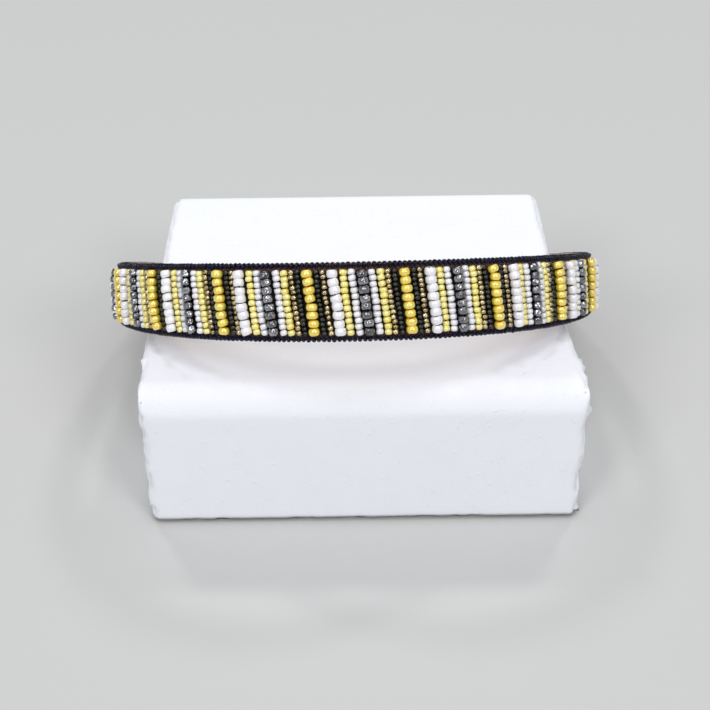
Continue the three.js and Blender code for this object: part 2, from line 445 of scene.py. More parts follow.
class SurfaceGraph(NodeGraph):
    """A material's node tree, round one Principled shader."""

    def __init__(self, name: str) -> None:
        """Makes the material with its shader and output.

        Args:
            name: The material's name.
        """
        self.material = bpy.data.materials.new(name)
        self.material.use_nodes = True
        super().__init__(self.material.node_tree)
        self.tree.nodes.clear()
        shader = self.add("ShaderNodeBsdfPrincipled")
        self.shader = shader.socket.node
        self.add("ShaderNodeOutputMaterial", sockets={"Surface": shader})

    def surface(self, sockets: Mapping[str, object]) -> bpy.types.Material:
        """Feeds the shader.

        Args:
            sockets: Values or fields for its inputs, by name.

        Returns:
            The finished material.
        """
        for name, value in sockets.items():
            self.feed(self._input(self.shader, name), value)
        return self.material

    def place(self) -> Field:
        """The place on the object, in metres."""
        return self.add("ShaderNodeTexCoord")["Object"]

    def attribute(self, name: str, output: str = "Fac") -> Field:
        """A value that was stored on the mesh, as a number or as a Vector."""
        return self.add("ShaderNodeAttribute", {"attribute_name": name})[output]

    def bump(self, height: Field, depth: float) -> Field:
        """A normal for relief of a depth in millimetres, from a height of 0 to 1."""
        return self.add("ShaderNodeBump", sockets={"Height": height, "Distance": depth * MM})


# Finishes


@dataclass(frozen=True)
class LustreBeads:
    """Glass beads with a pearly colour that darkens towards their holes: a deeper tone of the glass
    together with painted shade where neighbouring beads meet.

    Attributes:
        name: The material's name.
        belly: Colour round the middle of a bead.
        odd: Colour of the beads that differ most from the rest.
        rim: Colour towards the hole at each end: a deeper tone of the glass together with painted
            shade where neighbouring beads meet.
        rim_share: How strong the rim's colour is at the hole.
        gloss: Roughness of the surface.
        metal: How metallic the lustre is, from 0 to 1.
        rim_start: Where the rim's colour begins, from 0 at the belly to 1 at the hole.
        cloud_grain: Size of the clouds in the glass, in millimetres.
        cloud_share: How much of the rim's colour the clouds have.
        cloud_dulling: How much rougher the clouds are.
        coat_gloss: Roughness of the clear coat.
        coat_ior: How strongly the coat bends light, which sets its shine.
        pit_grain: Size of the small uneven places in millimetres.
        pit_depth: Their depth in millimetres.
    """

    name: str
    belly: Colour
    odd: Colour
    rim: Colour
    rim_share: float
    gloss: float
    metal: float = 0.0
    rim_start: float = 0.35
    cloud_grain: float = 1.1
    cloud_share: float = 0.25
    cloud_dulling: float = 0.12
    coat_gloss: float = 0.1
    coat_ior: float = 2.1
    pit_grain: float = 0.5
    pit_depth: float = 0.03

    def material(self) -> bpy.types.Material:
        """Makes the beads' material.

        Returns:
            The material.
        """
        graph = SurfaceGraph(self.name)
        place = graph.place()
        cloud = graph.noise(place, self.cloud_grain)
        tint = graph.attribute(TINT)
        # Painted shade where neighbouring beads meet: the colour darkens towards each hole.
        rim = graph.eased(graph.attribute(RIM), self.rim_start, 1.0)
        belly = graph.blend(tint * tint, self.belly, self.odd)
        clouded = graph.blend(cloud * self.cloud_share, belly, self.rim)
        colour = graph.blend(rim * self.rim_share, clouded, self.rim)
        return graph.surface(
            {
                "Base Color": colour,
                "Metallic": self.metal,
                "Roughness": self.gloss + self.cloud_dulling * cloud,
                "Specular IOR Level": 1.0,
                "Coat Weight": 1.0,
                "Coat Roughness": self.coat_gloss,
                "Coat IOR": self.coat_ior,
                "Normal": graph.bump(graph.noise(place, self.pit_grain), self.pit_depth),
            }
        )


@dataclass(frozen=True)
class MetalBeads:
    """Beads with a metallic skin, unevenly worn and tarnished.

    Attributes:
        name: The material's name.
        bright: Colour of the clean metal.
        dull: Colour of the tarnish.
        tarnish_share: How much of the dull colour the dullest beads have.
        gloss: Roughness of the clean metal.
        hammering: Depth of the small dents in the surface, in millimetres.
        metal: How metallic the skin is, from 0 to 1.
        bead_share: How far tarnish differs from bead to bead.
        patch_share: How far it differs over a bead.
        patch_grain: Size of its patches in millimetres.
        patch_dulling: How much rougher the patches are.
        rim_start: Where the dull rim begins, from 0 at the belly to 1 at the hole.
        rim_share: How dull the rim is at the hole.
        dent_grain: Size of the dents in millimetres.
    """

    name: str
    bright: Colour
    dull: Colour
    tarnish_share: float
    gloss: float
    hammering: float
    metal: float = 1.0
    bead_share: float = 0.6
    patch_share: float = 0.6
    patch_grain: float = 0.9
    patch_dulling: float = 0.16
    rim_start: float = 0.5
    rim_share: float = 0.3
    dent_grain: float = 0.8

    def material(self) -> bpy.types.Material:
        """Makes the beads' material.

        Returns:
            The material.
        """
        graph = SurfaceGraph(self.name)
        place = graph.place()
        patch = graph.noise(place, self.patch_grain, detail=3.0)
        tint = graph.attribute(TINT)
        rim = graph.eased(graph.attribute(RIM), self.rim_start, 1.0)
        wear = (self.bead_share * tint + self.patch_share * patch) * self.tarnish_share
        tarnish = graph.maths("MINIMUM", wear + self.rim_share * rim, 1.0)
        dents = graph.noise(place, self.dent_grain, detail=1.0)
        return graph.surface(
            {
                "Base Color": graph.blend(tarnish, self.bright, self.dull),
                "Metallic": self.metal,
                "Roughness": self.gloss + self.patch_dulling * patch,
                "Normal": graph.bump(dents, self.hammering),
            }
        )


@dataclass(frozen=True)
class JetBeads:
    """Black glass beads, with a faint cast on some of them.

    Attributes:
        name: The material's name.
        dark: Colour of most beads.
        cast: Colour of the beads that differ most.
        gloss: Roughness of the glass.
        shine: Strength of its reflections, where 0.5 is plain glass.
        smear_grain: Size of the smears on the glass, in millimetres.
        smear_dulling: How much rougher the smears are.
        pit_grain: Size of the small uneven places in millimetres.
        pit_depth: Their depth in millimetres.
    """

    name: str
    dark: Colour
    cast: Colour
    gloss: float
    shine: float
    smear_grain: float = 0.8
    smear_dulling: float = 0.1
    pit_grain: float = 0.4
    pit_depth: float = 0.02

    def material(self) -> bpy.types.Material:
        """Makes the beads' material.

        Returns:
            The material.
        """
        graph = SurfaceGraph(self.name)
        place = graph.place()
        smear = graph.noise(place, self.smear_grain)
        tint = graph.attribute(TINT)
        return graph.surface(
            {
                "Base Color": graph.blend(tint * tint, self.dark, self.cast),
                "Roughness": self.gloss + self.smear_dulling * smear,
                "Specular IOR Level": self.shine,
                "Normal": graph.bump(graph.noise(place, self.pit_grain), self.pit_depth),
            }
        )


@dataclass(frozen=True)
class WovenCloth:
    """Plain woven cloth with a slubby thread.

    Attributes:
        name: The material's name.
        warm: Colour of the raised threads.
        deep: Colour of the hollows between them, a painted shade.
        thread: Distance between threads in millimetres.
        lit_edge_warm: Colour of the raised threads along the edges, where it differs: a lighter copy
            of the cloth's colour, painted light where that strip lies open.
        edge_width: How far in from the edge that colour reaches, in millimetres.
        edge_zone: Where it gives way to the other one, as shares of that width.
        thread_share: How much of the height the threads make.
        slub_share: How much of it the slubs make.
        slub_grain: Size of the slubs in millimetres.
        roughness: Roughness between the slubs.
        slub_gloss: How much smoother the slubs are.
        sheen: Strength of the soft light along the cloth's edges.
        relief: Height of the weave in millimetres.
    """

    name: str
    warm: Colour
    deep: Colour
    thread: float
    lit_edge_warm: Colour | None = None
    edge_width: float = 1.5
    edge_zone: Zone = (0.7, 1.3)
    thread_share: float = 0.7
    slub_share: float = 0.5
    slub_grain: float = 0.7
    roughness: float = 0.95
    slub_gloss: float = 0.15
    sheen: float = 0.2
    relief: float = 0.12

    def material(self) -> bpy.types.Material:
        """Makes the cloth's material, whose weave follows the band.

        Returns:
            The material.
        """
        graph = SurfaceGraph(self.name)
        along, across, inward = graph.parts(graph.attribute(BAND_PLACE, "Vector"))
        turn = math.pi / (self.thread * MM)
        warp = graph.maths("SINE", along * turn)
        weft = graph.maths("SINE", across * turn)
        thread = warp * weft * 0.5 + 0.5
        slub = graph.noise(graph.place(), self.slub_grain, detail=3.0)
        # The hollows of the weave take the deep colour, a painted shade; the slubs add a random tone.
        height = graph.maths("MINIMUM", thread * self.thread_share + slub * self.slub_share, 1.0)
        edge_zone = [share * self.edge_width * MM for share in self.edge_zone]
        inner = graph.eased(inward, *edge_zone)
        # Painted light and shade: the lighter copy along the edges, where the cloth lies open by the
        # edging, and the darker colour further in, under and between the bead strings.
        warm = graph.blend(inner, self.lit_edge_warm or self.warm, self.warm)
        return graph.surface(
            {
                "Base Color": graph.blend(height, self.deep, warm),
                "Roughness": self.roughness - self.slub_gloss * slub,
                "Sheen Weight": self.sheen,
                "Normal": graph.bump(height, self.relief),
            }
        )


@dataclass(frozen=True)
class Suede:
    """Soft suede with a brushed nap.

    Attributes:
        name: The material's name.
        pale: Colour where the nap lies towards the light.
        brown: Colour where it lies away.
        brushed_grain: Size of the brushed patches in millimetres.
        brushed_share: How much of the tone they make.
        nap_grain: Size of the tufts in millimetres.
        nap_share: How much of the tone they make.
        tone_zone: Tones at which the colour is all brown and all pale.
        roughness: Roughness between the tufts.
        nap_gloss: How much smoother the tufts are.
        sheen: Strength of the soft light along the suede's edges.
        nap_height: Height of the tufts in millimetres.
    """

    name: str
    pale: Colour
    brown: Colour
    brushed_grain: float = 9.0
    brushed_share: float = 0.6
    nap_grain: float = 0.45
    nap_share: float = 0.4
    tone_zone: Zone = (0.3, 0.7)
    roughness: float = 0.98
    nap_gloss: float = 0.1
    sheen: float = 0.35
    nap_height: float = 0.15

    def material(self) -> bpy.types.Material:
        """Makes the suede's material.

        Returns:
            The material.
        """
        graph = SurfaceGraph(self.name)
        place = graph.place()
        brushed = graph.noise(place, self.brushed_grain, detail=3.0)
        nap = graph.noise(place, self.nap_grain, detail=4.0)
        tone = graph.eased(brushed * self.brushed_share + nap * self.nap_share, *self.tone_zone)
        return graph.surface(
            {
                "Base Color": graph.blend(tone, self.brown, self.pale),
                "Roughness": self.roughness - self.nap_gloss * nap,
                "Sheen Weight": self.sheen,
                "Normal": graph.bump(nap, self.nap_height),
            }
        )


@dataclass(frozen=True)
class Foam:
    """White bead foam, with faint cells and small nicks.

    Attributes:
        name: The material's name.
        white: Colour of the skin.
        shade: Colour of the faint patches and of the seams between cells.
        foot_shade: Colour of the painted shade along the block's foot, where it meets the floor.
        foot_shade_height: How high up the sides that painted shade reaches, in millimetres.
        cell: Size of a cell in millimetres.
        foot_shade_full: Share of that height below which the painted shade is full.
        foot_shade_share: How strong the painted shade is there.
        seam_width: How far a seam reaches into its cells, as a share of their size.
        seam_shade: How much of the shade the seams have.
        seam_gloss: How much smoother the seams are.
        seam_depth: Their depth, as a share of the relief.
        mottle_grain: Size of the faint patches in millimetres.
        mottle_shade: How much of the shade they have.
        nick_grain: Distance between nicks in millimetres.
        nick_zone: Levels of noise at which a nick starts and is full.
        nick_white: How much whiter the nicks are.
        nick_height: Height of their torn foam, as a share of the relief.
        skin_grain: Size of the grain in the skin, in millimetres.
        skin_height: Its height, as a share of the relief.
        roughness: Roughness of the skin.
        relief: Height of the relief in millimetres.
    """

    name: str
    white: Colour
    shade: Colour
    foot_shade: Colour
    foot_shade_height: float
    cell: float
    foot_shade_full: float = 0.2
    foot_shade_share: float = 0.9
    seam_width: float = 0.12
    seam_shade: float = 0.02
    seam_gloss: float = 0.25
    seam_depth: float = 0.03
    mottle_grain: float = 14.0
    mottle_shade: float = 0.25
    nick_grain: float = 2.2
    nick_zone: Zone = (0.67, 0.74)
    nick_white: float = 0.5
    nick_height: float = 0.32
    skin_grain: float = 0.8
    skin_height: float = 0.3
    roughness: float = 0.9
    relief: float = 0.25

    def material(self) -> bpy.types.Material:
        """Makes the foam's material.

        Returns:
            The material.
        """
        graph = SurfaceGraph(self.name)
        place = graph.place()
        seam = graph.seams(place, self.cell, self.seam_width)
        mottle = graph.noise(place, self.mottle_grain, detail=3.0)
        nicks = graph.eased(graph.noise(place, self.nick_grain, detail=1.0), *self.nick_zone)
        shade = graph.maths("MINIMUM", seam * self.seam_shade + mottle * self.mottle_shade, 1.0)
        shaded = graph.blend(shade, self.white, self.shade)
        nicked = graph.blend(nicks * self.nick_white, shaded, self.white)
        # Painted shade along the foot: the colour darkens below foot_shade_height, a dark line where
        # the block meets the floor.
        height = graph.parts(place)[2]
        foot_shade_top = self.foot_shade_height * MM
        foot_shade_mask = graph.eased(height, foot_shade_top, self.foot_shade_full * foot_shade_top)
        skin = graph.noise(place, self.skin_grain, detail=3.0)
        relief = skin * self.skin_height - seam * self.seam_depth + nicks * self.nick_height
        return graph.surface(
            {
                "Base Color": graph.blend(foot_shade_mask * self.foot_shade_share, nicked, self.foot_shade),
                "Roughness": self.roughness - self.seam_gloss * seam,
                "Normal": graph.bump(relief, self.relief),
            }
        )


@dataclass(frozen=True)
class PaperFloor:
    """A plain pale sheet of backdrop paper, with a very faint tooth.

    Attributes:
        name: The material's name.
        grey: Colour of the paper.
        roughness: Roughness in the hollows of its tooth.
        tooth_grain: Size of the tooth in millimetres.
        tooth_dulling: How much rougher its high places are.
        tooth_height: Its height in millimetres.
    """

    name: str
    grey: Colour
    roughness: float = 0.8
    tooth_grain: float = 1.5
    tooth_dulling: float = 0.1
    tooth_height: float = 0.02

    def material(self) -> bpy.types.Material:
        """Makes the paper's material.

        Returns:
            The material.
        """
        graph = SurfaceGraph(self.name)
        tooth = graph.noise(graph.place(), self.tooth_grain, detail=3.0)
        return graph.surface(
            {
                "Base Color": self.grey,
                "Roughness": self.roughness + self.tooth_dulling * tooth,
                "Normal": graph.bump(tooth, self.tooth_height),
            }
        )


# The rim colours of the lustre beads hold painted shade where neighbouring beads meet.
FINISHES = {
    BeadKind.YELLOW: LustreBeads(
        "yellow_lustre",
        belly=srgb(255, 241, 98),
        odd=srgb(255, 227, 66),
        rim=srgb(252, 197, 32),
        rim_share=0.8,
        gloss=0.2,
        metal=0.22,
    ),
    BeadKind.WHITE: LustreBeads(
        "white_lustre",
        belly=srgb(252, 251, 255),
        odd=srgb(244, 241, 252),
        rim=srgb(248, 246, 252),
        rim_share=0.4,
        gloss=0.24,
    ),
    BeadKind.GUNMETAL: MetalBeads(
        "gunmetal",
        bright=srgb(196, 196, 202),
        dull=srgb(74, 72, 76),
        tarnish_share=0.8,
        gloss=0.05,
        hammering=0.3,
    ),
    BeadKind.FINE_YELLOW: LustreBeads(
        "fine_yellow_lustre",
        belly=srgb(255, 247, 156),
        odd=srgb(255, 239, 106),
        rim=srgb(252, 218, 78),
        rim_share=0.6,
        gloss=0.24,
        metal=0.1,
    ),
    BeadKind.FINE_WHITE: LustreBeads(
        "fine_white_lustre",
        belly=srgb(250, 250, 254),
        odd=srgb(240, 241, 248),
        rim=srgb(212, 208, 220),
        rim_share=0.6,
        gloss=0.24,
    ),
    BeadKind.GOLD: MetalBeads(
        "antique_gold",
        bright=srgb(250, 236, 196),
        dull=srgb(136, 116, 78),
        tarnish_share=0.9,
        gloss=0.1,
        hammering=0.08,
        metal=0.95,
    ),
    BeadKind.BLACK: JetBeads(
        "black_glass",
        dark=srgb(10, 10, 12),
        cast=srgb(26, 34, 32),
        gloss=0.06,
        shine=0.75,
    ),
}
EDGING_FINISH = JetBeads(
    "navy_black_glass",
    dark=srgb(5, 5, 26),
    cast=srgb(8, 8, 56),
    gloss=0.05,
    shine=0.28,
)
THREAD_FINISH = WovenCloth(
    "dark_thread",
    warm=srgb(58, 40, 36),
    deep=srgb(22, 15, 14),
    thread=0.15,
)
# The ground cloth's colour is darkened as painted shade under and between the bead strings, and its
# lighter edge colour is painted light where the strip by the edging lies open.
CLOTH_FINISH = WovenCloth(
    "brown_ground_cloth",
    warm=srgb(46, 31, 29),
    deep=srgb(16, 11, 11),
    thread=0.42,
    lit_edge_warm=srgb(112, 74, 64),
)
SUEDE_FINISH = Suede(
    "tan_suede",
    pale=srgb(204, 166, 118),
    brown=srgb(166, 124, 80),
)
FOAM_FINISH = Foam(
    "white_foam",
    white=srgb(248, 249, 255),
    shade=srgb(228, 232, 242),
    # Painted shade along the block's foot, where it meets the floor
    foot_shade=srgb(62, 52, 43),
    foot_shade_height=2.6,
    cell=3.4,
)
FLOOR_FINISH = PaperFloor("grey_paper", grey=srgb(201, 201, 200))


# Sizes of the beads


@dataclass(frozen=True)
class Bead:
    """One kind of bead, in millimetres and degrees.

    Attributes:
        diameter: Across the belly.
        length: Along the hole.
        slot: The record's material slot; not used.
        sides: Faces round the hole.
        ring_points: Points round the section of the ring.
        squareness: Power that squares the section: 1 is an ellipse, less is a barrel.
        large: Whether its strings are nodes of their own.
        hole_share: The hole as a share of the diameter.
        size_spread: How far sizes differ, as a share.
        tilt_spread: How far a bead leans on its thread.
        stray: How far a bead lies off the string's line.
        girth_share: How much of its room across the string a bead fills.
    """

    diameter: float
    length: float
    slot: str
    sides: int
    ring_points: int
    squareness: float
    large: bool = False
    hole_share: float = 0.28
    size_spread: float = 0.05
    tilt_spread: float = 9.0
    stray: float = 0.12
    girth_share: float = 1.0


BEADS = {
    BeadKind.YELLOW: Bead(
        diameter=3.05,
        length=2.2,
        slot="yellow_beads",
        sides=16,
        ring_points=10,
        squareness=0.92,
        large=True,
        hole_share=0.12,
        size_spread=0.07,
    ),
    BeadKind.WHITE: Bead(
        diameter=3.05,
        length=2.2,
        slot="white_beads",
        sides=16,
        ring_points=10,
        squareness=0.76,
        large=True,
        hole_share=0.16,
    ),
    BeadKind.GUNMETAL: Bead(
        diameter=2.75,
        length=2.15,
        slot="gunmetal_beads",
        sides=14,
        ring_points=12,
        squareness=0.8,
        large=True,
        hole_share=0.16,
    ),
    BeadKind.FINE_YELLOW: Bead(
        diameter=2.0,
        length=1.6,
        slot="yellow_beads",
        sides=10,
        ring_points=8,
        squareness=0.86,
        hole_share=0.14,
        girth_share=1.06,
    ),
    BeadKind.FINE_WHITE: Bead(
        diameter=2.0,
        length=1.6,
        slot="white_beads",
        sides=10,
        ring_points=8,
        squareness=0.9,
        hole_share=0.16,
        girth_share=1.06,
    ),
    BeadKind.GOLD: Bead(
        diameter=1.45,
        length=1.35,
        slot="gold_beads",
        sides=8,
        ring_points=6,
        squareness=0.75,
        size_spread=0.12,
        tilt_spread=14.0,
        girth_share=1.2,
    ),
    BeadKind.BLACK: Bead(
        diameter=1.5,
        length=1.28,
        slot="jet_beads",
        sides=9,
        ring_points=5,
        squareness=0.85,
        girth_share=1.12,
    ),
}
EDGING_BEAD = Bead(
    diameter=1.34,
    length=1.0,
    slot="jet_beads",
    sides=8,
    ring_points=5,
    squareness=0.9,
    stray=0.06,
)

# One repeat of the stripes, in the +X direction
STRIPES = (
    BeadKind.YELLOW,
    BeadKind.BLACK,
    BeadKind.GOLD,
    BeadKind.WHITE,
    BeadKind.FINE_YELLOW,
    BeadKind.FINE_WHITE,
    BeadKind.GUNMETAL,
    BeadKind.FINE_WHITE,
    BeadKind.FINE_YELLOW,
    BeadKind.GOLD,
    BeadKind.BLACK,
)


# The band's form


@dataclass(frozen=True)
class BeadString:
    """A string of beads across the band.

    Attributes:
        kind: The beads that it holds.
        along: Its middle's place along the band.
        reach: How far its ends lie from the middle line.
    """

    kind: BeadKind
    along: float
    reach: float


@dataclass(frozen=True)
class EdgePoint:
    """A point of the upper edge.

    Attributes:
        along: Its place along the band.
        across: Its place across the band.
        away_along: The part along the band of the direction that points off the edge.
        away_across: The part of that direction across the band.
    """

    along: float
    across: float
    away_along: float
    away_across: float


@dataclass(frozen=True)
class BandForm:
    """The curve, taper and tilt of the band, in the part's own driving sizes.

    Attributes:
        front_radius: Radius of the round front, at the cloth's face.
        front_half_angle: Angle from its middle to the start of an arm, in radians.
        arm_radius: Radius of the arms, which bow a little.
        arm_length: Length of an arm with its tip.
        centre_width: Width in the middle of the front, edging included.
        tip_width: Width at the tips.
        taper_power: How late along the band its narrowing comes.
        edging_height: How far the edging reaches in from the outline.
        cloth_inside: Place of the cloth's inner face.
        cloth_inset: How far the cloth's edge lies in from the outline.
        lining_inside: Place of the lining's inner face.
        lining_outside: Place of the lining's outer face.
        lining_inset: How far the lining's edge lies in from the outline.
        seat_gap: Gap between the cloth and the large strings.
        string_gap: Gap between neighbouring strings.
        string_slant: How far a string leans along the band for each millimetre across it.
        string_end_gap: Gap between the end of a string and the edging.
        beaded_half_length: How far from the middle the strings go.
        repeats_each_way: Most repeats of the stripes on each side of the middle.
        front_y: Place of the middle of the front, before the turn.
        turn: The band's turn on the block, in radians.
        block_rounding: Rounding of the block's upper side edges.
        seat_angle: Where on that rounding the lining lies, from its top, in radians.
        rest_gap: Gap between the lining and the block.
        place: The matrix from the band's own frame to the block's, in millimetres.
    """

    front_radius: float = 72.0
    front_half_angle: float = math.radians(88)
    arm_radius: float = 260.0
    arm_length: float = 73.0
    centre_width: float = 21.0
    tip_width: float = 11.0
    taper_power: float = 2.5
    edging_height: float = 1.6
    cloth_inside: float = -2.0
    cloth_inset: float = 0.95
    lining_inside: float = -3.25
    lining_outside: float = -2.25
    lining_inset: float = 0.3
    seat_gap: float = 0.25
    string_gap: float = 0.21
    string_slant: float = 0.12
    string_end_gap: float = 0.3
    beaded_half_length: float = 148.0
    repeats_each_way: int = 7
    front_y: float = -51.3
    turn: float = math.radians(1)
    block_rounding: float = 3.0
    seat_angle: float = math.radians(39)
    rest_gap: float = 0.25
    place: Matrix = field(init=False)

    def __post_init__(self) -> None:
        """Works out how the band lies on the block that the frame holds."""
        object.__setattr__(self, "place", self._lay_on_block())

    @property
    def front_half_length(self) -> float:
        """Half the length of the round front."""
        return self.front_radius * self.front_half_angle

    @property
    def taper_length(self) -> float:
        """Length from the middle to where the tip starts to round."""
        return self.front_half_length + self.arm_length - self.tip_radius

    @property
    def tip_radius(self) -> float:
        """Radius of the round tips."""
        return self.tip_width / 2

    @property
    def edge_half_travel(self) -> float:
        """Distance along the edge from the middle of the front to the middle of a tip."""
        return self.taper_length + self.tip_radius * math.pi / 2

    def outline_at(self, along: float) -> tuple[float, float, float]:
        """Follows the band's outline.

        Args:
            along: Length along the band, negative on the -X side.

        Returns:
            The x and y of the place in the band's own plane, and its heading.
        """
        side = math.copysign(1.0, along)
        length = abs(along)
        heading = min(length / self.front_radius, self.front_half_angle)
        heading += max(length - self.front_half_length, 0.0) / self.arm_radius
        front = min(heading, self.front_half_angle)
        x = self.front_radius * math.sin(front)
        x += self.arm_radius * (math.sin(heading) - math.sin(front))
        y = self.front_radius * (1 - math.cos(front))
        y += self.arm_radius * (math.cos(front) - math.cos(heading))
        return side * x, y, side * heading

    def flat_point(self, along: float, across: float, out: float) -> Vector:
        """A point in the band's own frame, before it is tipped onto the block."""
        x, y, heading = self.outline_at(along)
        return Vector((x + out * math.sin(heading), y - out * math.cos(heading), across))

    def point(self, along: float, across: float, out: float) -> Vector:
        """A point of the band where it lies on the block, in metres."""
        return (self.place @ self.flat_point(along, across, out)) * MM

    def outward(self, along: float) -> Vector:
        """The direction out of the cloth where the band lies on the block."""
        heading = self.outline_at(along)[2]
        return self.place.to_3x3() @ Vector((math.sin(heading), -math.cos(heading), 0.0))

    def half_width(self, along: float) -> float:
        """Half the band's width, edging included, before the tip is rounded.

        Args:
            along: Length along the band.

        Returns:
            The half width.
        """
        share = min(abs(along) / self.taper_length, 1.0)
        narrowing = (self.centre_width - self.tip_width) * share**self.taper_power
        return (self.centre_width - narrowing) / 2

    def edge_point(self, travel: float) -> EdgePoint:
        """Follows the upper edge, round half of each tip.

        Args:
            travel: Distance along the edge from the middle, negative on the -X side.

        Returns:
            The point of the outline.
        """
        side = math.copysign(1.0, travel)
        length = abs(travel)
        if length <= self.taper_length:
            return EdgePoint(travel, self.half_width(travel), 0.0, 1.0)
        turn = (length - self.taper_length) / self.tip_radius
        return EdgePoint(
            side * (self.taper_length + self.tip_radius * math.sin(turn)),
            self.tip_radius * math.cos(turn),
            side * math.sin(turn),
            math.cos(turn),
        )

    def strings(self) -> list[BeadString]:
        """Works out every string of the stripes.

        Returns:
            The strings in order along the band.
        """
        steps = []
        for kind, following in zip(STRIPES, STRIPES[1:] + STRIPES[:1]):
            steps.append((BEADS[kind].diameter + BEADS[following].diameter) / 2 + self.string_gap)
        found = []
        for number in range(-self.repeats_each_way, self.repeats_each_way):
            along = (number + 0.5) * sum(steps)
            for kind, step in zip(STRIPES, steps):
                if abs(along) <= self.beaded_half_length:
                    reach = self.half_width(along) - self.edging_height - self.string_end_gap
                    found.append(BeadString(kind, along, reach))
                along += step
        return found

    def _lay_on_block(self) -> Matrix:
        """Tips the band onto the block's side edges, a little askew, with its tips on the floor.

        Returns:
            The matrix from the band's own frame to the block's, in millimetres.
        """
        low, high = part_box("display_block")
        width = (high.x - low.x) / MM
        height = high.z / MM
        seat_x = width / 2 - self.block_rounding * (1 - math.sin(self.seat_angle))
        seat_z = height - self.block_rounding * (1 - math.cos(self.seat_angle)) + self.rest_gap
        seat_along = self.front_radius * math.asin(
            seat_x / (self.front_radius + self.lining_inside)
        )
        seat_depth = self.flat_point(seat_along, 0.0, self.lining_inside).y
        seat_drop = self.half_width(seat_along) - self.lining_inset
        run = self.flat_point(self.taper_length, 0.0, 0.0).y - seat_depth
        rise = seat_z - self.tip_radius
        tilt = math.asin(rise / math.hypot(run, seat_drop)) + math.atan2(seat_drop, run)
        band_height = seat_z + seat_drop * math.cos(tilt) + seat_depth * math.sin(tilt)
        ahead = seat_depth * math.cos(tilt) - seat_drop * math.sin(tilt)
        seat = Matrix.Translation((0.0, self.front_y + ahead, band_height))
        return (
            seat
            @ Matrix.Rotation(self.turn, 4, "Z")
            @ Matrix.Translation((0.0, -ahead, 0.0))
            @ Matrix.Rotation(-tilt, 4, "X")
        )


# Meshes


def new_piece(
    name: str,
    points: Sequence[Vector] = (),
    edges: Sequence[tuple[int, int]] = (),
    faces: Sequence[tuple[int, ...]] = (),
) -> bpy.types.Object:
    """Makes an object at the origin with its place in its mesh.

    Args:
        name: The piece's name.
        points: Its points in metres.
        edges: Pairs of point numbers, for a mesh of lines.
        faces: Rings of point numbers.

    Returns:
        The object, linked to the scene.
    """
    mesh = bpy.data.meshes.new(name)
    mesh.from_pydata([tuple(point) for point in points], list(edges), list(faces))
    piece = bpy.data.objects.new(name, mesh)
    bpy.context.scene.collection.objects.link(piece)
    return piece


def store(piece: bpy.types.Object, name: str, kind: str, values: np.ndarray) -> None:
    """Stores a value for each point of a mesh.

    Args:
        piece: The object that holds the mesh.
        name: The name that the value is read by.
        kind: INT, FLOAT or FLOAT_VECTOR.
        values: The values in the order of the points.
    """
    attribute = piece.data.attributes.new(name, kind, "POINT")
    key = "vector" if kind == "FLOAT_VECTOR" else "value"
    attribute.data.foreach_set(key, np.ascontiguousarray(values).ravel())


def declare(piece: bpy.types.Object, node: str) -> bpy.types.Object:
    """Attaches a piece to the body that it rides on, and hides the solid that it stands for.

    Args:
        piece: The piece.
        node: The solid's name.

    Returns:
        The same piece.
    """
    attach(piece, BODY)
    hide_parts(node)
    return piece


@dataclass(frozen=True)
class ThreadPath:
    """The line that a thread takes through its beads.

    Attributes:
        points: Points along the line, in metres.
        outward: The direction out of the cloth along it.
        count: How many beads it holds.
    """

    points: list[Vector]
    outward: Vector
    count: int

    @property
    def pitch(self) -> float:
        """Length of thread for each bead, in metres."""
        lengths = [(b - a).length for a, b in zip(self.points, self.points[1:])]
        return sum(lengths) / self.count


